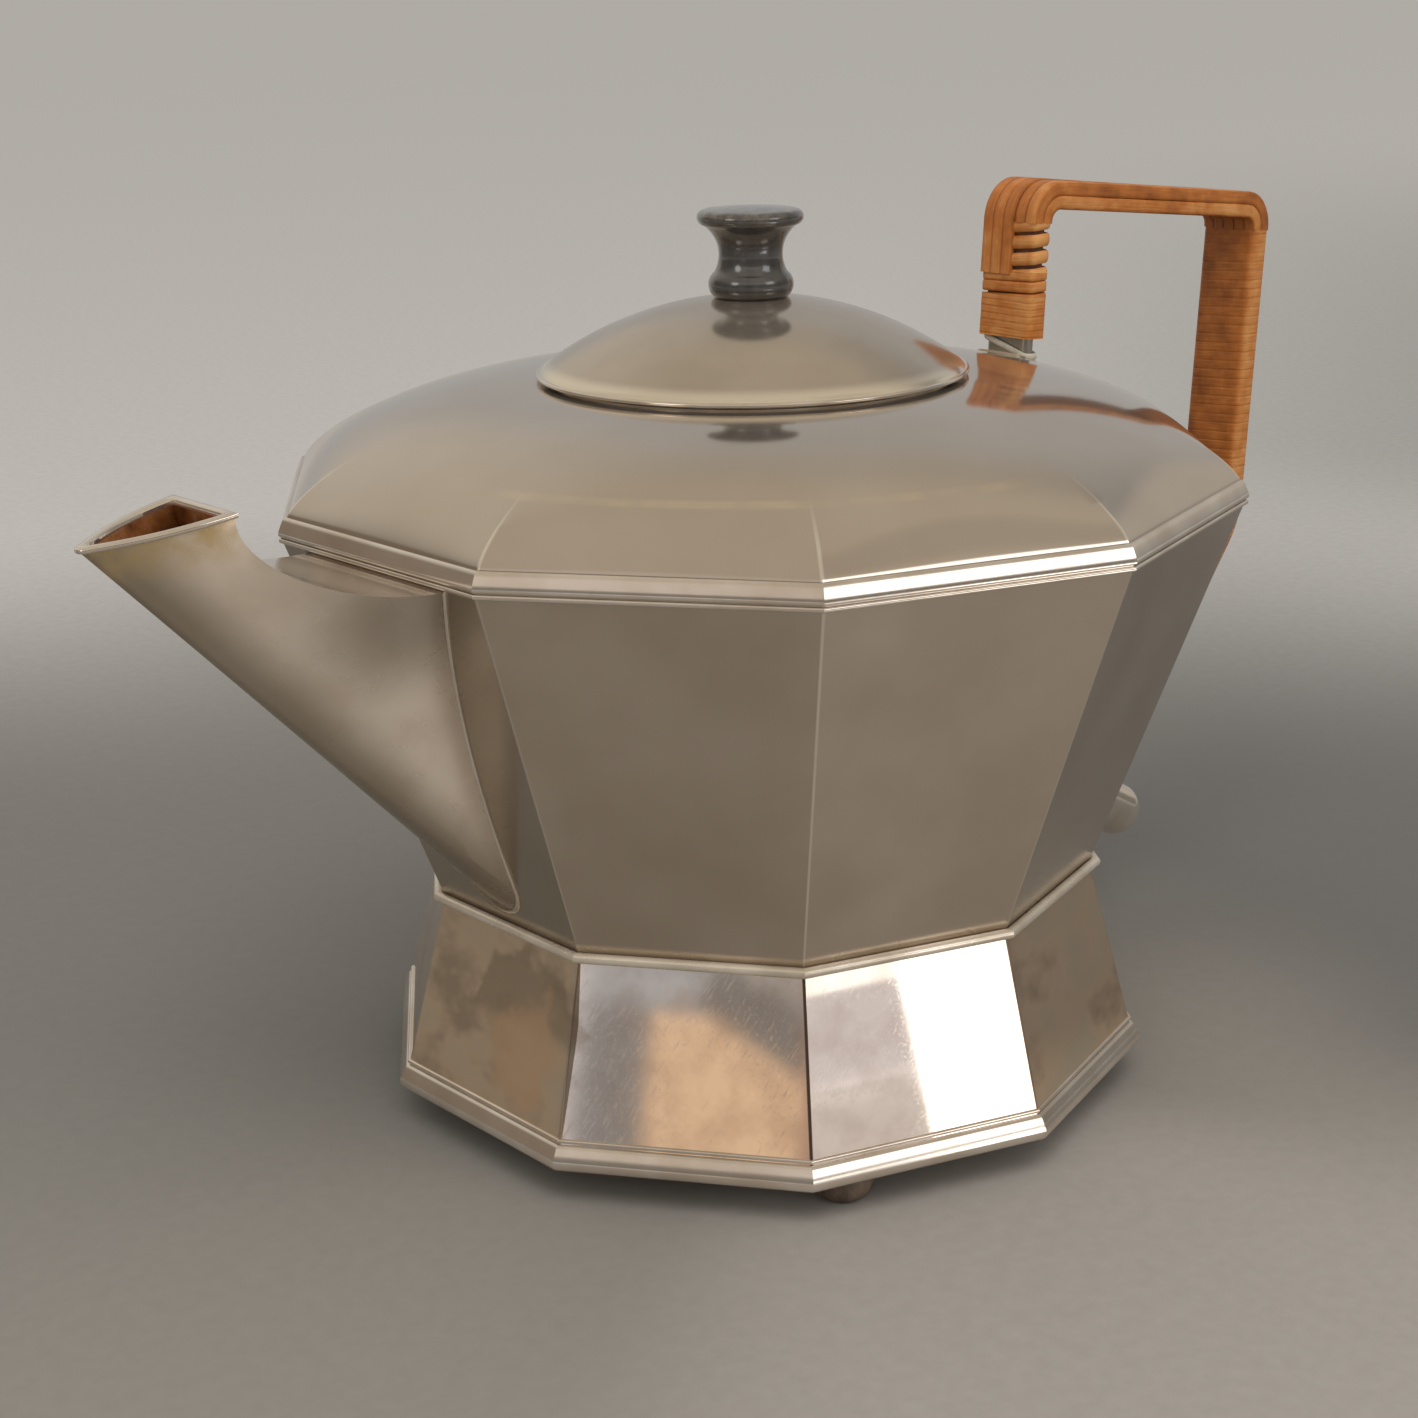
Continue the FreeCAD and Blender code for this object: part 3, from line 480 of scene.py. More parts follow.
def arc_points(start, middle, end, count):
    """Points on the circle through three (x, y) points, from the first to the last."""
    (ax, ay), (bx, by), (cx, cy) = start, middle, end
    d = 2 * (ax * (by - cy) + bx * (cy - ay) + cx * (ay - by))
    ux = ((ax**2 + ay**2) * (by - cy) + (bx**2 + by**2) * (cy - ay) + (cx**2 + cy**2) * (ay - by)) / d
    uy = ((ax**2 + ay**2) * (cx - bx) + (bx**2 + by**2) * (ax - cx) + (cx**2 + cy**2) * (bx - ax)) / d
    radius = math.hypot(ax - ux, ay - uy)
    first = math.atan2(ay - uy, ax - ux)
    via = (math.atan2(by - uy, bx - ux) - first) % (2 * math.pi)
    sweep = (math.atan2(cy - uy, cx - ux) - first) % (2 * math.pi)
    if via > sweep:
        sweep -= 2 * math.pi
    return [
        (ux + radius * math.cos(first + sweep * k / count), uy + radius * math.sin(first + sweep * k / count))
        for k in range(count + 1)
    ]


# Shoulder: the CAD part's own rule, in finer steps
SHOULDER_FULLNESS = 0.75
CREASE_HEIGHT = 12.0
FACET_STEPS = 20
SHOULDER_STEPS = 44


def shoulder_loop(run, drop):
    rim_radius = RIM_A / math.cos(HALF_FACET)
    radius = rim_radius + (SEAT_R - rim_radius) * run
    rise = (SEAT_Z - RIM_Z) * (1 - (1 - run) ** 2) ** SHOULDER_FULLNESS
    blend = min(rise / CREASE_HEIGHT, 1.0)
    bulge = blend * blend * (3 - 2 * blend)
    flat = radius * math.cos(HALF_FACET)
    half = radius * math.sin(HALF_FACET)
    sagitta = (radius - flat) * bulge
    loop = []
    for k in range(FACETS):
        angle = 2 * HALF_FACET * k
        for step in range(FACET_STEPS):
            across = half * (2 * step / FACET_STEPS - 1)
            out = flat
            if sagitta > 1e-6:
                ball = (half**2 + sagitta**2) / (2 * sagitta)
                out = flat + sagitta - ball + math.sqrt(max(ball**2 - across**2, 0))
            x = out * math.cos(angle) - across * math.sin(angle)
            y = out * math.sin(angle) + across * math.cos(angle)
            loop.append((x, y, RIM_Z + rise - drop))
    return loop


# The inner face starts a few steps up, where it clears the wall
INNER_START = 6
runs = [(k / SHOULDER_STEPS) ** 2 for k in range(SHOULDER_STEPS + 1)]
outer = [shoulder_loop(run, 0) for run in runs]
mouth_sides = [Vector(p[:2]).normalized() * MOUTH_R for p in outer[-1]]
mouth_edge = [[(p.x, p.y, SEAT_Z - drop) for p in mouth_sides] for drop in (0, SHEET)]
inner = [shoulder_loop(run, SHEET) for run in reversed(runs[INNER_START:])]
pot_silver("shoulder", outer + mouth_edge + inner, SILVER_TOP, "shoulder_cover", 12)


# Beads and wires: raised sections mitred round the facets
def facet_band(name, profile, node, material=SILVER_BEAD):
    """A band round the ten sides, with mitred corners, from (apothem, z) points."""
    corners = [HALF_FACET * (2 * k + 1) for k in range(FACETS)]
    loops = []
    for apothem, z in profile:
        radius = apothem / math.cos(HALF_FACET)
        loops.append([(radius * math.cos(a), radius * math.sin(a), z) for a in corners])
    band = pot_silver(name, loops, material, node, 40)
    for edge in band.data.edges:
        first, second = edge.vertices
        if first % FACETS == second % FACETS:
            edge.use_edge_sharp = True


def wall_a(z):
    return WAIST_A + WALL_SLOPE * (z - WAIST_Z)


def brim_a(z):
    return BRIM_A + (RIM_A - BRIM_A) * (z - BRIM_Z) / (RIM_Z - BRIM_Z)


def skirt_a(z):
    return WAIST_A + SKIRT_SLOPE * (WAIST_Z - z)


BAND_STEPS = 20


def band_profile(rule, low, high, proud, square):
    """A raised band's section. square is 1 for a round band, less for one with a flatter face."""
    (a_x, a_z), (b_x, b_z) = (rule(low), low), (rule(high), high)
    length = math.hypot(b_x - a_x, b_z - a_z)
    out_x, out_z = (b_z - a_z) / length, (a_x - b_x) / length
    profile = []
    for k in range(BAND_STEPS + 1):
        turn = math.pi * k / BAND_STEPS
        run = (1 - math.copysign(abs(math.cos(turn)) ** square, math.cos(turn))) / 2
        rise = proud * math.sin(turn) ** square
        profile.append((a_x + (b_x - a_x) * run + out_x * rise, a_z + (b_z - a_z) * run + out_z * rise))
    return profile


RIM_WIRE_LOW, RIM_WIRE_HIGH = 100.3, 101.1
FOOT_WIRE_LOW, FOOT_WIRE_HIGH = 9.6, 10.3
FOOT_BEAD = 4.0
WAIST_WIRE = 0.85
facet_band("rim_bead_fine", band_profile(brim_a, BRIM_Z, RIM_Z, 0.55, 0.6), "rim_bead")
facet_band("rim_wire_fine", band_profile(wall_a, RIM_WIRE_LOW, RIM_WIRE_HIGH, 0.45, 1.0), "rim_wire")

# The foot's bead, from below upwards: outward from its root, and up from the foot's lower edge
foot_steps = [(0.95, 0.0), (1.2, 0.1), (1.55, 0.5), (1.7, 0.9), (1.7, 1.4)]
foot_steps += [(1.55, 1.9), (0.7, 3.6), (0.38, 3.95), (-0.05, 4.05)]
foot_step_a = skirt_a(FOOT_Z + FOOT_BEAD)
facet_band("foot_bead_fine", [(foot_step_a + out, FOOT_Z + up) for out, up in foot_steps], "foot_bead")
facet_band("foot_wire_fine", band_profile(skirt_a, FOOT_WIRE_LOW, FOOT_WIRE_HIGH, 0.4, 1.0), "foot_wire")
groove = (math.atan(WALL_SLOPE) + math.atan(SKIRT_SLOPE)) / 2
waist_x = WAIST_A + WAIST_WIRE / math.cos(groove) + SOLDER_GAP
waist_turns = [2 * math.pi * k / BAND_STEPS for k in range(BAND_STEPS)]
waist_round = [(waist_x + WAIST_WIRE * math.cos(a), WAIST_Z + WAIST_WIRE * math.sin(a)) for a in waist_turns]
facet_band("waist_wire_fine", waist_round, "waist_wire", SILVER_WIRE)


# Lid and knob
def dome_z(radius, drop=0.0):
    return DOME_TOP - LID_BALL + math.sqrt((LID_BALL - drop) ** 2 - radius**2)


# The dome's outer face turns down in a small round before its edge
EDGE_ROUND, EDGE_START = 2.6, 33.9
inner_edge = math.sqrt((LID_BALL - SHEET) ** 2 - (LID_EDGE_Z - DOME_TOP + LID_BALL) ** 2)
edge_turn = math.asin(EDGE_START / LID_BALL)
edge_r = EDGE_START - EDGE_ROUND * math.sin(edge_turn)
edge_z = dome_z(EDGE_START) - EDGE_ROUND * math.cos(edge_turn)
edge_turns = np.linspace(edge_turn, math.acos((LID_EDGE_Z - edge_z) / EDGE_ROUND), 9)
dome_profile = [(r, dome_z(r)) for r in np.linspace(STUD_HOLE, EDGE_START, 34)]
for turn in edge_turns[1:]:
    dome_profile.append((edge_r + EDGE_ROUND * math.sin(turn), edge_z + EDGE_ROUND * math.cos(turn)))
dome_profile += [(r, dome_z(r, SHEET)) for r in np.linspace(inner_edge, STUD_HOLE, 20)]
lid_lathe("lid_dome_fine", dome_profile, SILVER_LID, 192, "lid_dome", 40)
rim_outermost = (LID_R + LID_RIM / 2, LID_SEAT_Z + LID_RIM / 2)
rim_edge = arc_points((LID_R, LID_SEAT_Z), rim_outermost, (LID_R, LID_EDGE_Z), 10)
rim_profile = [(LID_RIM_INNER, LID_SEAT_Z)] + rim_edge + [(LID_RIM_INNER, LID_EDGE_Z)]
lid_lathe("lid_rim_fine", rim_profile, SILVER_BEAD, 192, "lid_rim", 40)

# The turned knob stops just short of the axis, and its underside stands just above the dome
KNOB_H, KNOB_R, NECK_R, BASE_R = 14.1, 8.6, 5.2, 6.9
NEAR_AXIS = 0.02
knob_under = dome_z(STUD_HOLE) + 0.2
knob_top = DOME_TOP + KNOB_H
ring_z = DOME_TOP + KNOB_H * 0.16
cap_z = knob_top - KNOB_H * 0.14
foot_point = (BASE_R * 0.85, dome_z(BASE_R * 0.85))
ring_top = (BASE_R * 0.86, ring_z + KNOB_H * 0.11)
cap_low = (KNOB_R * 0.9, cap_z - KNOB_H * 0.06)
crown_drop = KNOB_H * 0.03
crown = (KNOB_R * 0.88, knob_top - crown_drop)
knob_profile = arc_points(foot_point, (BASE_R, ring_z), ring_top, 12)
knob_profile += arc_points(ring_top, (NECK_R, DOME_TOP + KNOB_H * 0.46), cap_low, 18)[1:]
knob_profile += arc_points(cap_low, (KNOB_R, cap_z), crown, 10)[1:]
crown_ball = (crown[0] ** 2 + crown_drop**2) / (2 * crown_drop)
crown_radii = np.linspace(crown[0], NEAR_AXIS, 9)[1:]
knob_profile += [(r, knob_top - crown_ball + math.sqrt(crown_ball**2 - r**2)) for r in crown_radii]
knob_profile += [(NEAR_AXIS, knob_under), (STUD_HOLE, knob_under)]
lid_lathe("knob_turned", knob_profile, KNOB, 96, "knob", 35)


# Spout: the CAD part's own sections, in finer steps
ROOT_TOP_Z, ROOT_KEEL_Z = 100.0, 41.4
ROOT_TOP = Vector((-wall_a(ROOT_TOP_Z), 0, ROOT_TOP_Z))
ROOT_KEEL = Vector((-wall_a(ROOT_KEEL_Z), 0, ROOT_KEEL_Z))
MOUTH_REAR = Vector((-103.0, 0, 113.7))
MOUTH_TIP = Vector((-122.0, 0, 110.8))
ROOT_HALF, MOUTH_HALF = 17.3, 8.0
ROOT_KEEL_HALF, MOUTH_KEEL_HALF = 6.0, 1.4
ROOT_SWELL, MOUTH_SWELL = -0.06, 0.07
SIDE_STEPS, TOE_STEPS, FLAT_STEPS = 14, 10, 12

# The points of a section run down one side, round the keel and up the other side, then across the flat top
FLAT_START = 2 * SIDE_STEPS + TOE_STEPS


def spout_loop(angle, inset, lift=0.0):
    """Points round the spout at a turn from the facet (0) to the mouth (90)."""
    share = math.radians(angle)
    run = math.sin(share)
    keel_share = angle / 90
    top_x = ROOT_TOP.x + (MOUTH_REAR.x - ROOT_TOP.x) * run
    top_z = ROOT_TOP.z + (MOUTH_REAR.z - ROOT_TOP.z) * (1 - math.cos(share))
    top = Vector((top_x, 0, top_z))
    keel = ROOT_KEEL + (MOUTH_TIP - ROOT_KEEL) * keel_share
    down = (keel - top).normalized()
    half_top = ROOT_HALF + (MOUTH_HALF - ROOT_HALF) * run**1.7 - 1.3 * inset
    half_keel = MOUTH_KEEL_HALF + (ROOT_KEEL_HALF - MOUTH_KEEL_HALF) * (1 - keel_share) ** 2 - 0.5 * inset
    bow = ROOT_SWELL + (MOUTH_SWELL - ROOT_SWELL) * keel_share
    top = top + down * inset
    depth = (keel - down * (1.6 * inset) - top).length
    shoulder_depth = depth - half_keel * 0.8
    chord = (shoulder_depth, half_keel - half_top)
    swell = (shoulder_depth / 2 - bow * chord[1], (half_top + half_keel) / 2 + bow * chord[0])
    side = arc_points((0, half_top), swell, (shoulder_depth, half_keel), SIDE_STEPS)
    toe = arc_points((shoulder_depth, half_keel), (depth, 0), (shoulder_depth, -half_keel), TOE_STEPS)
    flat = [(0, -half_top + 2 * half_top * k / FLAT_STEPS) for k in range(1, FLAT_STEPS)]
    outline = side + toe[1:] + [(d, -w) for d, w in reversed(side[:-1])] + flat
    normal = Vector((-down.z, 0, down.x))
    if normal.z < 0:
        normal = -normal
    return [tuple(top + down * d + Vector((0, w, 0)) + normal * lift) for d, w in outline]


spout_steps = np.linspace(0, 90, 46)
spout_outer = [spout_loop(a, 0) for a in spout_steps]
spout_inner = [spout_loop(a, SHEET) for a in reversed(spout_steps)]
spout = pot_silver("spout_fine", spout_outer + spout_inner, SILVER_SPOUT, "spout_shell", 28)
spout.data.materials.append(STAINED)
spout.data.materials.append(SILVER_BEAD)
for face in spout.data.polygons:
    row, column = divmod(face.index, len(spout_outer[0]))
    if row >= len(spout_outer):
        face.material_index = 1
    elif column >= FLAT_START:
        face.material_index = 2

# The seam and the lip as (inset, lift) points from the spout's section
seam_profile = [(0.0, 0.0), (-0.5, 0.05), (-0.55, -0.15), (-0.35, -0.38), (0.0, -0.45)]
seam_rows = [[spout_loop(0, inset, lift)[k] for inset, lift in seam_profile] for k in range(FLAT_START + 1)]
rings("spout_seam", seam_rows, "pot", SILVER_BEAD, 60)
lip_profile = [(1.0, 0), (1.0, 0.6), (0.7, 0.92), (0.3, 1.0), (-0.1, 0.95)]
lip_profile += [(-0.38, 0.75), (-0.45, 0.45), (-0.35, 0.15), (-0.1, 0)]
lip_rows = [spout_loop(90, inset, lift) for inset, lift in lip_profile]
pot_silver("spout_lip_fine", lip_rows, SILVER_BEAD, "spout_lip", 45)


# Handle: cane over the strap. The strap's middle line, as straight runs and arcs in the XZ plane
def strap_path(points, radii):
    runs_out = []
    start = Vector(points[0])
    for before, corner, after, radius in zip(points, points[1:], points[2:], radii):
        corner = Vector(corner)
        into = (corner - Vector(before)).normalized()
        out = (Vector(after) - corner).normalized()
        turn = into.angle(out)
        setback = radius * math.tan(turn / 2)
        entry = corner - into * setback
        centre = corner + (out - into).normalized() * (radius / math.cos(turn / 2))
        runs_out.append(("line", start, into, (entry - start).length))
        runs_out.append(("arc", entry, into, radius * turn, centre, radius))
        start = corner + out * setback
    last = Vector(points[-1]) - start
    runs_out.append(("line", start, last.normalized(), last.length))
    return runs_out


ARM_ROOT_Z, ARM_TIP_Z = 44.0, 20.3
ARM_REACH, SEAT_FROM_TIP = 40.9, 13.0
arm_root = Vector((wall_a(ARM_ROOT_Z), ARM_ROOT_Z))
arm_tip = Vector((arm_root.x + ARM_REACH, ARM_TIP_Z))
arm_seat = arm_tip - (arm_tip - arm_root).normalized() * SEAT_FROM_TIP
HANDLE_CORNERS = [(62.6, 105.8), (65.3, 144.0), (129.5, 137.1), (124.7, 76.0), tuple(arm_seat)]
CORNER_RADII = [4.6, 4.6, 14.0]
HANDLE = strap_path(HANDLE_CORNERS, CORNER_RADII)
STARTS = np.concatenate([[0], np.cumsum([run[3] for run in HANDLE])])


def handle_at(s):
    """Place and outward side of the strap's middle line at a distance along it."""
    index = int(min(max(np.searchsorted(STARTS, s, side="right") - 1, 0), len(HANDLE) - 1))
    run = HANDLE[index]
    d = s - STARTS[index]
    if run[0] == "line":
        place, along = run[1] + run[2] * d, run[2]
    else:
        radius, centre = run[5], run[4]
        spoke = run[1] - centre
        side = -1 if spoke.x * run[2].y - spoke.y * run[2].x < 0 else 1
        a = side * d / radius
        turn = Matrix(((math.cos(a), -math.sin(a)), (math.sin(a), math.cos(a))))
        place, along = centre + turn @ spoke, turn @ run[2]
    return place, Vector((-along.y, along.x))


# The longest step between points round the strap
LOOP_STEP = 1.2


def strap_loop(half_w, half_t, corner):
    """Round a round-edged rectangle (width along Y): places, outward sides and shares of the girth."""
    rows = []
    for quarter, (w, t) in enumerate(((1, 1), (-1, 1), (-1, -1), (1, -1))):
        for step in range(4):
            a = math.radians(90 * quarter + 30 * step)
            side = (math.cos(a), math.sin(a))
            centre = (w * (half_w - corner), t * (half_t - corner))
            rows.append(((centre[0] + side[0] * corner, centre[1] + side[1] * corner), side))
    loop = []
    for (place, side), (following, _) in zip(rows, rows[1:] + rows[:1]):
        gap = (following[0] - place[0], following[1] - place[1])
        pieces = max(1, int(math.hypot(*gap) / LOOP_STEP))
        for k in range(pieces):
            loop.append(((place[0] + gap[0] * k / pieces, place[1] + gap[1] * k / pieces), side))
    lengths = [math.dist(a[0], b[0]) for a, b in zip(loop, loop[1:] + loop[:1])]
    shares = np.concatenate([[0], np.cumsum(lengths)[:-1]]) / sum(lengths)
    return [(place, side, share) for (place, side), share in zip(loop, shares)]


def strap_point(s, across, out):
    place, side = handle_at(s)
    p = place + side * out
    return (p.x, across, p.y)


def strand_faces(rows, sides):
    faces = ring_faces(rows, sides, False)
    faces.append(tuple(range(sides - 1, -1, -1)))
    faces.append(tuple((rows - 1) * sides + k for k in range(sides)))
    return faces


# Half sizes of the strap and of the cane over it, and three strand sections (along the strap, outward)
STRAP_W, STRAP_T = 4.8, 1.3
CANE_W, CANE_T = 6.0, 2.5
STRIP_H = 0.9
FLAT = [(-1, -1), (-1, 0.45), (-0.86, 0.88), (-0.45, 1), (0.45, 1), (0.86, 0.88), (1, 0.45), (1, -1)]
RIBBON = [(-1, -1), (-1, 0.88), (-0.9, 0.99), (-0.4, 1), (0.4, 1), (0.9, 0.99), (1, 0.88), (1, -1)]
ROUND = [(math.cos(a), math.sin(a)) for a in np.linspace(0, 2 * math.pi, 10, endpoint=False)]
rng = np.random.default_rng(7)

# How much the painted shade darkens the inner side towards its far edge, how thin a strand is pressed at the
# ends, and the step along a strip
INNER_SHADE = 0.1
END_STEP = 0.02
STRIP_STEP = 0.8


def wound_cane(start, end, pitch, width, height, slope, side_shading, section, loose, edge=0.14):
    """Turns of cane between two distances along the strap: points, faces, shades and strand places.
    The side shades are the painted light and shade of the outer, far, inner and near sides; loose is how
    uneven the turns lie;
    edge is how much the painted shade between the turns darkens the strand's edges."""
    loop = strap_loop(CANE_W - height / 2, CANE_T - height / 2, 0.6)
    turns = max(1, int(round((end - start) / pitch)))
    pitch = (end - start) / turns
    girth = 4 * (CANE_W + CANE_T)
    lifts = rng.uniform(-0.05, 0.0, turns + 3) * loose
    tints = rng.uniform(-0.12, 0.12, turns + 3) * loose
    slips = rng.uniform(-0.08, 0.08, turns + 3) * pitch * loose
    outer_tone, far_tone, inner_tone, near_tone = side_shading
    points, shades, places = [], [], []
    for index in range((turns + 1) * len(loop) + 1):
        turn, k = divmod(index, len(loop))
        (across, out), (n_across, n_out), share = loop[k]
        lift = lifts[turn] * (1 - share) + lifts[turn + 1] * share
        slip = slips[turn] * (1 - share) + slips[turn + 1] * share
        tint = tints[turn] * (1 - share) + tints[turn + 1] * share
        # Painted light and shade: each side takes its own shade, and the inner side darkens towards its far
        # edge
        base = (outer_tone if n_out > 0 else inner_tone) * n_out**2
        base += (far_tone if n_across > 0 else near_tone) * n_across**2
        if n_out < 0:
            base -= INNER_SHADE * across / CANE_W * n_out**2
        s = start + pitch * (turn + share - 0.5) + slip + slope * across
        for c, u in section:
            reach = u * height / 2 + lift
            at = min(max(s + c * width / 2, start + END_STEP * (c + 1)), end - END_STEP * (1 - c))
            points.append(strap_point(at, across + n_across * reach, out + n_out * reach))
            # The strand's edges are darker: painted shade between the turns
            shades.append(base + tint - edge * c**4)
            places.append((girth * (turn + share), c * width / 2 + 3 * turn, 0))
    return points, strand_faces((turns + 1) * len(loop) + 1, len(section)), shades, places


def cane_strip(start, end, centre, outward, width, lift, tone):
    """One flat strand along the strap. centre and outward place it on the strap's section.
    It starts a lift above its place and comes down to it towards its end."""
    steps = max(4, int((end - start) / STRIP_STEP))
    (across, out), (n_across, n_out) = centre, outward
    along_across, along_out = -n_out, n_across
    tint = tone + rng.uniform(-0.09, 0.09)
    wander = rng.uniform(-1, 1, 3)
    number = 5 * rng.uniform(0, 20)
    points, shades, places = [], [], []
    for i in range(steps + 1):
        share = i / steps
        s = start + (end - start) * share
        shift = 0.06 * math.sin(6 * share + 3 * wander[0]) * wander[1]
        rise = lift * (1 - share) ** 2
        for c, u in FLAT:
            w = c * width / 2 + shift
            h = u * STRIP_H / 2 + rise
            at_across = across + along_across * w + n_across * h
            points.append(strap_point(s, at_across, out + along_out * w + n_out * h))
            # Darker at the strip's edges: painted shade between the strips
            shades.append(tint - 0.12 * c**4 + 0.06 * math.sin(11 * share + 6 * wander[2]))
            places.append((s, w + number, 0))
    return points, strand_faces(steps + 1, len(FLAT)), shades, places


def merge(parts):
    points, faces, shades, places = [], [], [], []
    for part_points, part_faces, part_shades, part_places in parts:
        base = len(points)
        points += part_points
        faces += [tuple(base + i for i in face) for face in part_faces]
        shades += part_shades
        places += part_places
    return points, faces, shades, places


# Distances along the strap where one kind of winding ends and the next starts
LEG_FOOT, BARE_STRAP, BARE_LOWER = 9.3, 3.7, 9.4
FINE_RUN, COARSE_RUN = 7.4, 4.2
LAP = 0.3
front_top, top_end, rear_end = STARTS[1], STARTS[4], STARTS[5]
wrap_start = LEG_FOOT + BARE_STRAP
fine_end = wrap_start + FINE_RUN
coarse_end = fine_end + COARSE_RUN
lower_end = STARTS[7] - BARE_LOWER
bar_start, bar_end = front_top - LAP, top_end + LAP
leg_end = front_top - 0.2

# The side shades are painted light and shade: near and outer sides lighter, inner and far sides darker; the
# round bars' pale near ends are a painted highlight
front_parts = [
    wound_cane(wrap_start, fine_end, 1.25, 1.3, 0.9, 0.06, (0.64, 0.5, 0.4, 0.66), RIBBON, 0.6, 0.1),
    wound_cane(fine_end, coarse_end, 1.95, 1.95, 1.0, 0.04, (0.58, 0.45, 0.4, 0.6), FLAT, 0.8),
    wound_cane(coarse_end, leg_end, 3.2, 2.3, 0.9, 0.0, (0.62, 0.5, 0.4, 0.86), ROUND, 0.6),
]

# The top bar's strips: five above and five below, two on each side. Three of the upper ones run on down
# over the front leg's bars
STRIP_W, SIDE_STRIP_W = 2.36, 2.4
RUNNER_LAP, RUNNER_LIFT = 0.5, 0.35
# The strips' tones are painted light and shade: upper strips and the near side lighter, lower strips darkest
top_parts = []
strip_out, strip_across = CANE_T - STRIP_H / 2, CANE_W - STRIP_H / 2
for across, runs_on in ((4.75, True), (2.4, True), (0.1, True), (-2.35, False), (-4.75, False)):
    begin, lift = (coarse_end - RUNNER_LAP, RUNNER_LIFT) if runs_on else (bar_start, 0.0)
    top_parts.append(cane_strip(begin, bar_end, (across, strip_out), (0, 1), STRIP_W, lift, 0.5))
    top_parts.append(cane_strip(bar_start, bar_end, (across, -strip_out), (0, -1), STRIP_W, 0.0, 0.38))
for out in (-1.2, 1.2):
    top_parts.append(cane_strip(bar_start, bar_end, (-strip_across, out), (-1, 0), SIDE_STRIP_W, 0.0, 0.52))
    top_parts.append(cane_strip(bar_start, bar_end, (strip_across, out), (1, 0), SIDE_STRIP_W, 0.0, 0.45))


def close_cane(start, end, near_tone):
    return wound_cane(start, end, 1.75, 1.84, 1.0, 0.0, (0.5, 0.4, 0.36, near_tone), RIBBON, 0.15, 0.02)


# The rear and lower cane: painted light on the near side, painted shade on the inner side
rear_parts = [close_cane(bar_end, rear_end, 0.62)]
lower_parts = [close_cane(rear_end, lower_end, 0.6)]


def cane_piece(name, parts, node):
    points, faces, *strands = merge(parts)
    make_piece(name, points, faces, "pot", CANE, 50, node, strands)


cane_piece("cane_front_strands", front_parts, "cane_front")
cane_piece("cane_top_strands", top_parts, "cane_top")
cane_piece("cane_rear_strands", rear_parts, "cane_rear")
cane_piece("cane_lower_strands", lower_parts, "cane_lower")

# The thread that ties the cane's lower end: a slanted ring
TIE_W, TIE_T, TIE_SLANT, TIE_UP = 0.6, 0.3, 0.3, 2.0
tie_loop = strap_loop(STRAP_W + TIE_T, STRAP_T + TIE_T, 0.9)
tie_rings = []
for (across, out), (n_across, n_out), _ in tie_loop:
    s = LEG_FOOT + TIE_UP + TIE_SLANT * across
    ring = [(s + TIE_W * c, across + TIE_T * u * n_across, out + TIE_T * u * n_out) for c, u in ROUND]
    tie_rings.append([strap_point(*p) for p in ring])
rings("cane_tie_thread", tie_rings, "pot", TIE, 60, close_rows=True)

# The dark layer under the cane, which stops a little short of the cane's ends; its dark brown is painted
# shade in the gaps between the turns
BED_T, BED_SHORT = 0.4, 0.3
bed_loop = strap_loop(STRAP_W + BED_T, STRAP_T + BED_T, 0.9)
bed_steps = np.linspace(wrap_start + BED_SHORT, lower_end - BED_SHORT, 240)
bed_rows = [[strap_point(s, *place) for place, _, _ in bed_loop] for s in bed_steps]
rings("cane_bed_layer", bed_rows, "pot", CANE_BED, 60)

# Materials on the CAD nodes that stay
for material, names in (
    (SILVER, ["vessel_wall", "foot_flange"]),
    (SILVER_FOOT, ["foot_skirt"]),
    (SILVER_BEAD, ["lid_collar", "handle_flange", "handle_arm", "handle_pin", "lid_bezel"]),
    (SILVER_DULL, ["handle_strap"]),
    (STAINED, ["vessel_floor", "strainer_plate"]),
    (FOOT_WOOD, ["foot_back", "foot_right", "foot_left"]),
    (BRASS, ["foot_pin_back", "foot_pin_right", "foot_pin_left", "knob_washer", "knob_stud", "knob_nut"]),
):
    for name in names:
        nodes[name].data.materials.clear()
        nodes[name].data.materials.append(material)

# Facet edges of the sheet metal, softened a little
for name in ("vessel_wall", "foot_skirt"):
    weld = nodes[name].modifiers.new("weld", "WELD")
    weld.merge_threshold = 0.01 * MM
    soft_edge = nodes[name].modifiers.new("soft_edge", "BEVEL")
    soft_edge.width = 0.3 * MM
    soft_edge.segments = 2
    soft_edge.limit_method = "ANGLE"
    soft_edge.angle_limit = math.radians(25)
    soft_edge.harden_normals = True

# Stage: a wide grey floor, paler far behind the pot, with painted light and shade near it: darker round the
# pot and to its right, lighter towards the window
CAMERA_AZIMUTH, CAMERA_ELEVATION = 228.48, 17.18
FRONT = direction(CAMERA_AZIMUTH, 0)
PALE_FLOOR = (0.56, 0.545, 0.52)
FLOOR_Z = -0.2


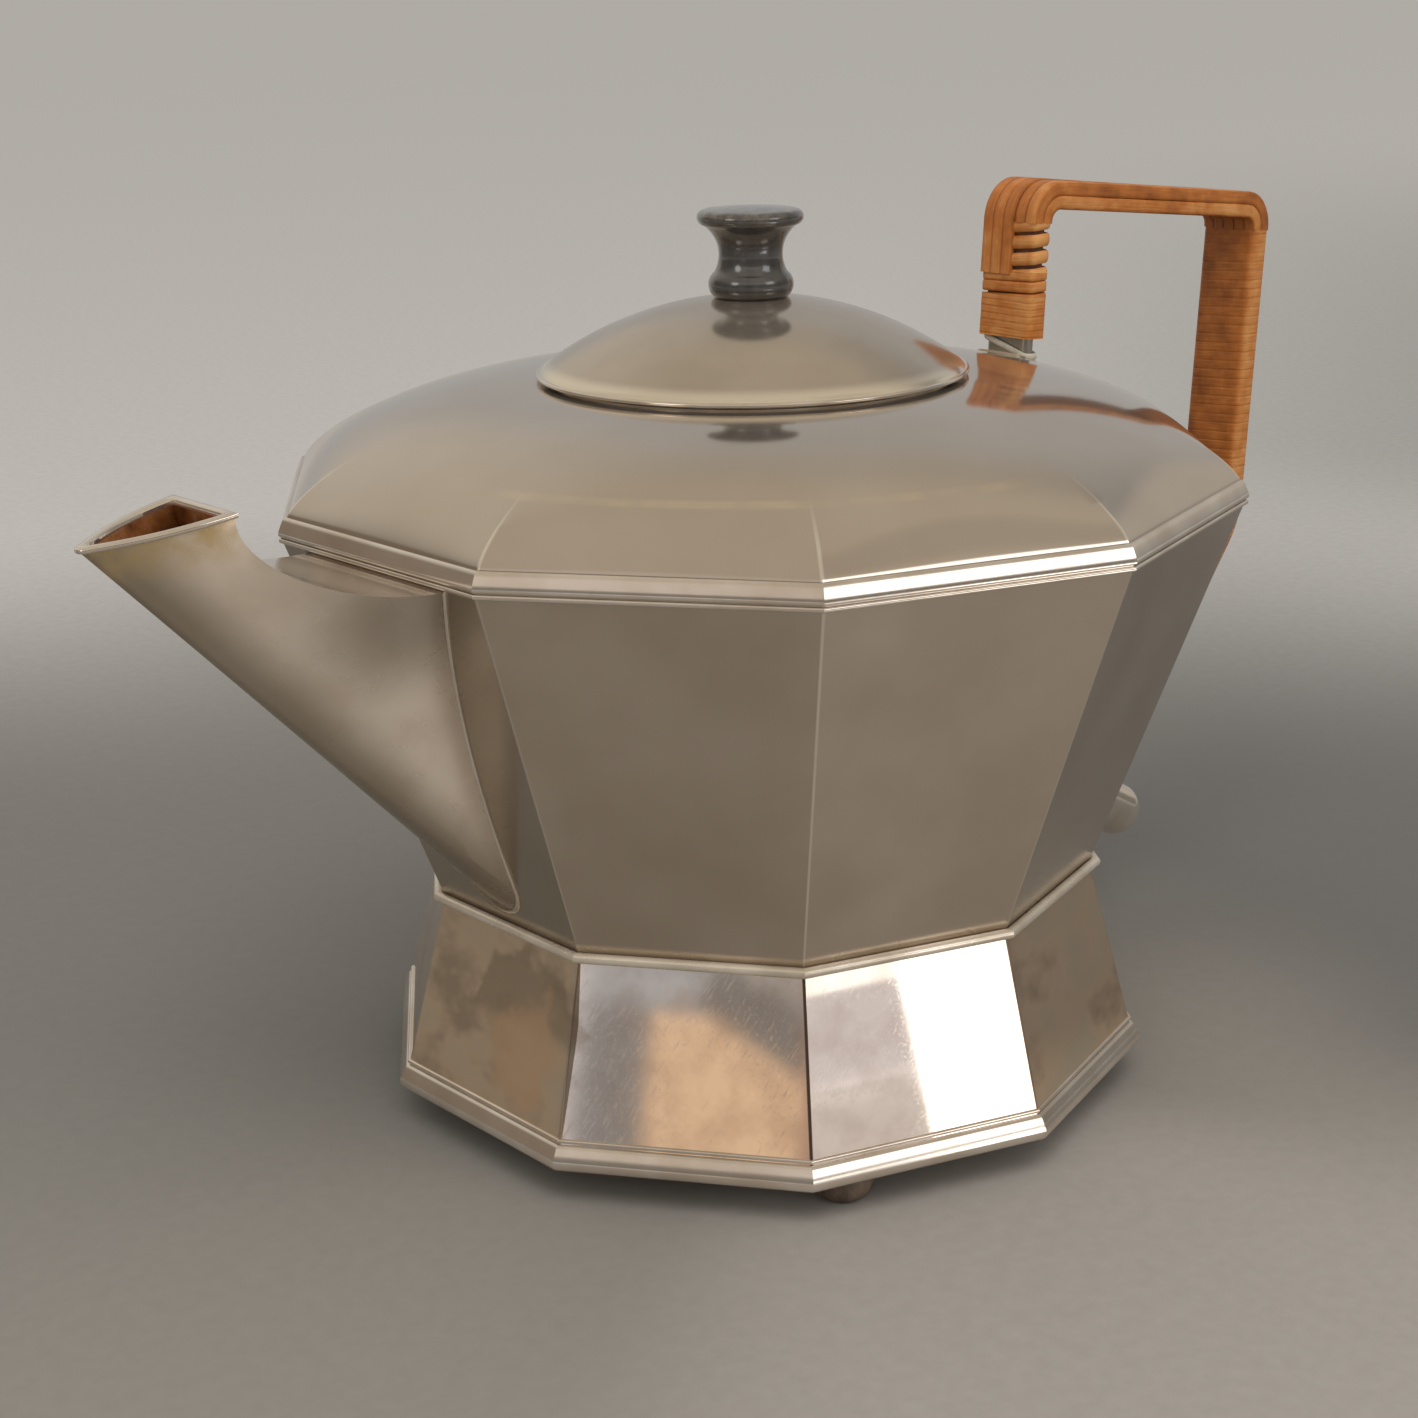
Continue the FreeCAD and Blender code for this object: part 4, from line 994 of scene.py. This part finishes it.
def floor_finish():
    s = Shader("floor_finish")
    length = s.vector("LENGTH", s.position())["Value"]
    unit = s.vector("NORMALIZE", s.position())["Vector"]
    frontness = s.along(unit, FRONT)
    lit_side = s.along(unit, direction(255, 0))
    right_side = s.along(unit, direction(345, 0))
    # Painted light and shade: darker near the pot, lighter on the side towards the window
    colour = s.mix(s.step_up(lit_side, -0.6, 0.6), (0.215, 0.206, 0.188), (0.285, 0.265, 0.237))
    colour = s.mix(s.step_up(lit_side, 0.7, 0.95), colour, (0.372, 0.345, 0.313))
    # Painted shadow on the floor close to the pot's right
    near_right_shadow = s.times(s.step_up(right_side, 0.65, 0.92), s.step_up(length, 0.07, 0.13))
    colour = s.mix(near_right_shadow, colour, (0.168, 0.161, 0.152))
    behind = s.times(s.step_up(length, 0.17, 0.5), s.step_up(frontness, -0.5, -0.85))
    colour = s.mix(behind, colour, PALE_FLOOR)
    # Painted shade: the floor farther off to the right stays darker than the pale far floor
    far_right_shade = s.times(s.step_up(right_side, 0.5, 0.85), s.step_up(length, 0.3, 0.6))
    far_right_shade = s.times(far_right_shade, s.step_up(length, 3.0, 1.2))
    colour = s.mix(s.times(far_right_shade, 0.8), colour, (0.34, 0.33, 0.318))
    colour = s.mix(s.step_up(length, 0.7, 2.4), colour, PALE_FLOOR)
    grain = s.grey(s.noise(3, 3), 0.0, 0.1, 0.3, 0.7)
    s.set(Base_Color=s.mix(grain, colour, (0.12, 0.115, 0.105)), Roughness=0.75, Specular_IOR_Level=0.0)
    return s.material


floor_radii = [0.02, 90, 140, 200, 300, 450, 900, 2000, 5000, 14000]
floor_sides = [Vector((math.cos(a), math.sin(a), 0)) for a in np.linspace(0, 2 * math.pi, 72, endpoint=False)]
floor_points = [side * r * MM + Vector((0, 0, FLOOR_Z * MM)) for r in floor_radii for side in floor_sides]
floor_mesh = bpy.data.meshes.new("floor")
floor_mesh.from_pydata(floor_points, [], ring_faces(len(floor_radii), len(floor_sides), False))
floor_mesh.update()
floor_mesh.materials.append(floor_finish())
floor = bpy.data.objects.new("floor", floor_mesh)
scene.collection.objects.link(floor)


# World: even soft light, a plain backdrop, and for what is mirrored, a studio with a pale back and a dim
# front
class WorldShader(Shader):
    def __init__(self, name):
        self.world = bpy.data.worlds.new(name)
        self.world.use_nodes = True
        self.tree = self.world.node_tree


def round_patch(s, view, colour, azimuth, elevation, inner, outer, shade, share=1.0):
    """A soft round patch of the studio; angles in degrees."""
    near = s.along(view, direction(azimuth, elevation))
    mask = s.step_up(near, math.cos(math.radians(outer)), math.cos(math.radians(inner)))
    return s.mix(s.times(mask, share), colour, shade)


def square_patch(s, view, colour, azimuth, elevation, half_width, half_height, soft, shade, roll=0.0):
    """A patch of the studio with straight edges; angles in degrees."""
    a, e, r = math.radians(azimuth), math.radians(elevation), math.radians(roll)
    level = Vector((-math.sin(a), math.cos(a), 0))
    rising = Vector((-math.sin(e) * math.cos(a), -math.sin(e) * math.sin(a), math.cos(e)))
    across = s.math("ABSOLUTE", s.along(view, level * math.cos(r) + rising * math.sin(r)))
    up = s.math("ABSOLUTE", s.along(view, rising * math.cos(r) - level * math.sin(r)))
    mask = s.step_up(s.along(view, direction(azimuth, elevation)), 0.0, 0.1)
    for value, half in ((across, half_width), (up, half_height)):
        mask = s.times(mask, s.step_up(value, math.radians(half + soft), math.radians(half - soft)))
    return s.mix(mask, colour, shade)


def studio_world():
    s = WorldShader("studio")
    view = s.node("ShaderNodeTexCoord").outputs["Generated"]
    height = s.along(view, (0, 0, 1))
    frontness = s.along(view, FRONT)
    ceiling = (0.49, 0.435, 0.35)
    low = s.mix(s.step_up(frontness, -0.85, -0.4), (0.415, 0.41, 0.402), (0.15, 0.135, 0.118))
    colour = s.mix(s.step_up(height, 0.5, 0.9), low, ceiling)
    front_up = s.times(s.step_up(height, 0.25, 0.6), s.step_up(frontness, -0.6, 0.0))
    colour = s.mix(front_up, colour, ceiling)

    for patch, *place in (
        # What the shoulder, the lid and the rim's band mirror
        (round_patch, 90, 30, 12, 36, (0.60, 0.55, 0.47), 0.9),
        (round_patch, 1, 14, 4, 15, (0.47, 0.44, 0.39)),
        (round_patch, 303, 55, 6, 18, (0.42, 0.37, 0.30)),
        (square_patch, 122, 10, 16, 9, 2, (0.18, 0.135, 0.095)),
        (round_patch, 201, 31, 6, 11, (0.58, 0.51, 0.45)),
        (square_patch, 284, 27, 11, 8, 2, (2.2, 2.15, 2.15)),
        (square_patch, 236, 29, 24, 3, 1.5, (0.8, 0.76, 0.69)),
        (round_patch, 180, 27, 6, 12, (2.8, 2.7, 2.6)),
        # What the foot's left front facet mirrors: a warm wall beside a dim doorway
        (square_patch, 203.9, 2.6, 4.4, 4.4, 0.8, (0.27, 0.262, 0.268)),
        (square_patch, 202.6, 4.9, 2.4, 1.3, 0.4, (0.46, 0.47, 0.50)),
        (square_patch, 206.2, 4.9, 1.4, 0.8, 0.35, (0.42, 0.39, 0.37)),
        (square_patch, 201.2, 2.4, 0.4, 3.0, 0.15, (0.70, 0.70, 0.76)),
        (square_patch, 205.2, 1.3, 2.05, 2.2, 0.1, (0.84, 0.60, 0.405)),
        (square_patch, 206.1, 3.25, 2.0, 0.6, 0.15, (0.22, 0.205, 0.20), -30),
        (square_patch, 207.0, 2.2, 0.22, 3.2, 0.12, (0.46, 0.28, 0.20)),
    ):
        colour = patch(s, view, colour, *place)

    # Diffuse rays see the even light, glossy rays the studio and the camera the backdrop
    mirrored = s.node("ShaderNodeBackground")
    s.put(mirrored.inputs["Color"], colour)
    light = s.tree.nodes["Background"]
    light.inputs["Color"].default_value = (1.0, 0.975, 0.94, 1)
    light.inputs["Strength"].default_value = 0.8
    backdrop = s.node("ShaderNodeBackground")
    backdrop.inputs["Color"].default_value = (0.43, 0.41, 0.38, 1)
    path = s.node("ShaderNodeLightPath")
    surface = light.outputs[0]
    for ray, source in (("Is Glossy Ray", mirrored), ("Is Camera Ray", backdrop)):
        both = s.node("ShaderNodeMixShader")
        s.put(both.inputs[0], path.outputs[ray])
        s.put(both.inputs[1], surface)
        s.put(both.inputs[2], source.outputs[0])
        surface = both.outputs[0]
    s.put(s.tree.nodes["World Output"].inputs["Surface"], surface)
    return s.world


scene.world = studio_world()


def area_lamp(name, width, height, power, colour):
    lamp = bpy.data.lights.new(name, "AREA")
    lamp.shape = "RECTANGLE"
    lamp.size = width
    lamp.size_y = height
    lamp.energy = power
    lamp.color = colour
    obj = bpy.data.objects.new(name, lamp)
    scene.collection.objects.link(obj)
    return obj


def softbox(name, azimuth, elevation, distance, width, height, power, colour):
    """A lamp in metres that faces the pot from a direction in degrees, and that nothing mirrors."""
    obj = area_lamp(name, width, height, power, colour)
    obj.location = Vector(direction(azimuth, elevation)) * distance + Vector((0, 0, 0.03))
    obj.rotation_euler = (Vector((0, 0, 0.05)) - obj.location).to_track_quat("-Z", "Y").to_euler()
    obj.visible_glossy = False


def card(name, azimuth, distance, low, high, bottom, top, glow, colour):
    """A glowing card that only polished surfaces show. It stands upright across a direction;
    low to high is its reach across that direction and bottom to top its reach in height, in millimetres."""
    width, height = (high - low) * MM, (top - bottom) * MM
    obj = area_lamp(name, width, height, glow * width * height * math.pi, colour)
    ahead = Vector(direction(azimuth, 0))
    across = Vector((-ahead.y, ahead.x, 0))
    obj.location = ahead * distance * MM + across * (low + high) / 2 * MM
    obj.location.x += AXIS_X
    obj.location.z = (bottom + top) / 2 * MM
    obj.rotation_euler = (-ahead).to_track_quat("-Z", "Y").to_euler()
    obj.visible_diffuse = False
    obj.visible_transmission = False


softbox("window", 286.2, 12, 3.3, 1.14, 1.2, 12.0, (1.0, 0.985, 0.97))
card("window_pane", 278, 260, -27, 40, 0.5, 62, 2.6, (1.0, 0.99, 0.98))
card("window_edge", 278, 261, -75, -27, 42, 62, 1.5, (1.0, 0.99, 0.98))
card("window_side", 278, 262, -75, -27, 19, 42, 0.6, (0.97, 0.92, 1.0))
card("window_sill", 278, 263, -75, -27, 0.5, 19, 0.33, (0.98, 0.92, 1.0))
softbox("overhead", 235, 62, 1.2, 0.7, 0.7, 4, (1.0, 0.97, 0.93))

# Camera at the photograph's place: the fitted focal length in pixels, the distance in millimetres, and the
# point it turns about, beside the axis and above the floor
PHOTO_PIXELS, FOCAL_PIXELS = 1418, 2451
CAMERA_DISTANCE, AIM_SIDE, AIM_Z = 418, -8.1, 62.5
camera = bpy.data.cameras.new("camera")
camera.sensor_width = 36
camera.lens = camera.sensor_width * FOCAL_PIXELS / PHOTO_PIXELS
camera.clip_start = 0.01
cam = bpy.data.objects.new("camera", camera)
scene.collection.objects.link(cam)
roll = math.radians(-1.08)
back = Vector(direction(CAMERA_AZIMUTH, CAMERA_ELEVATION))
level = Vector((-FRONT[1], FRONT[0], 0))
lifted = level.cross(-back)
right = level * math.cos(roll) + lifted * math.sin(roll)
upward = lifted * math.cos(roll) - level * math.sin(roll)
aim = level * AIM_SIDE + Vector((AXIS_X / MM, 0, AIM_Z))
turn = Matrix((right, upward, back)).transposed().to_4x4()
cam.matrix_world = Matrix.Translation((aim + back * CAMERA_DISTANCE) * MM) @ turn
scene.camera = cam
scene.view_settings.view_transform = "Standard"
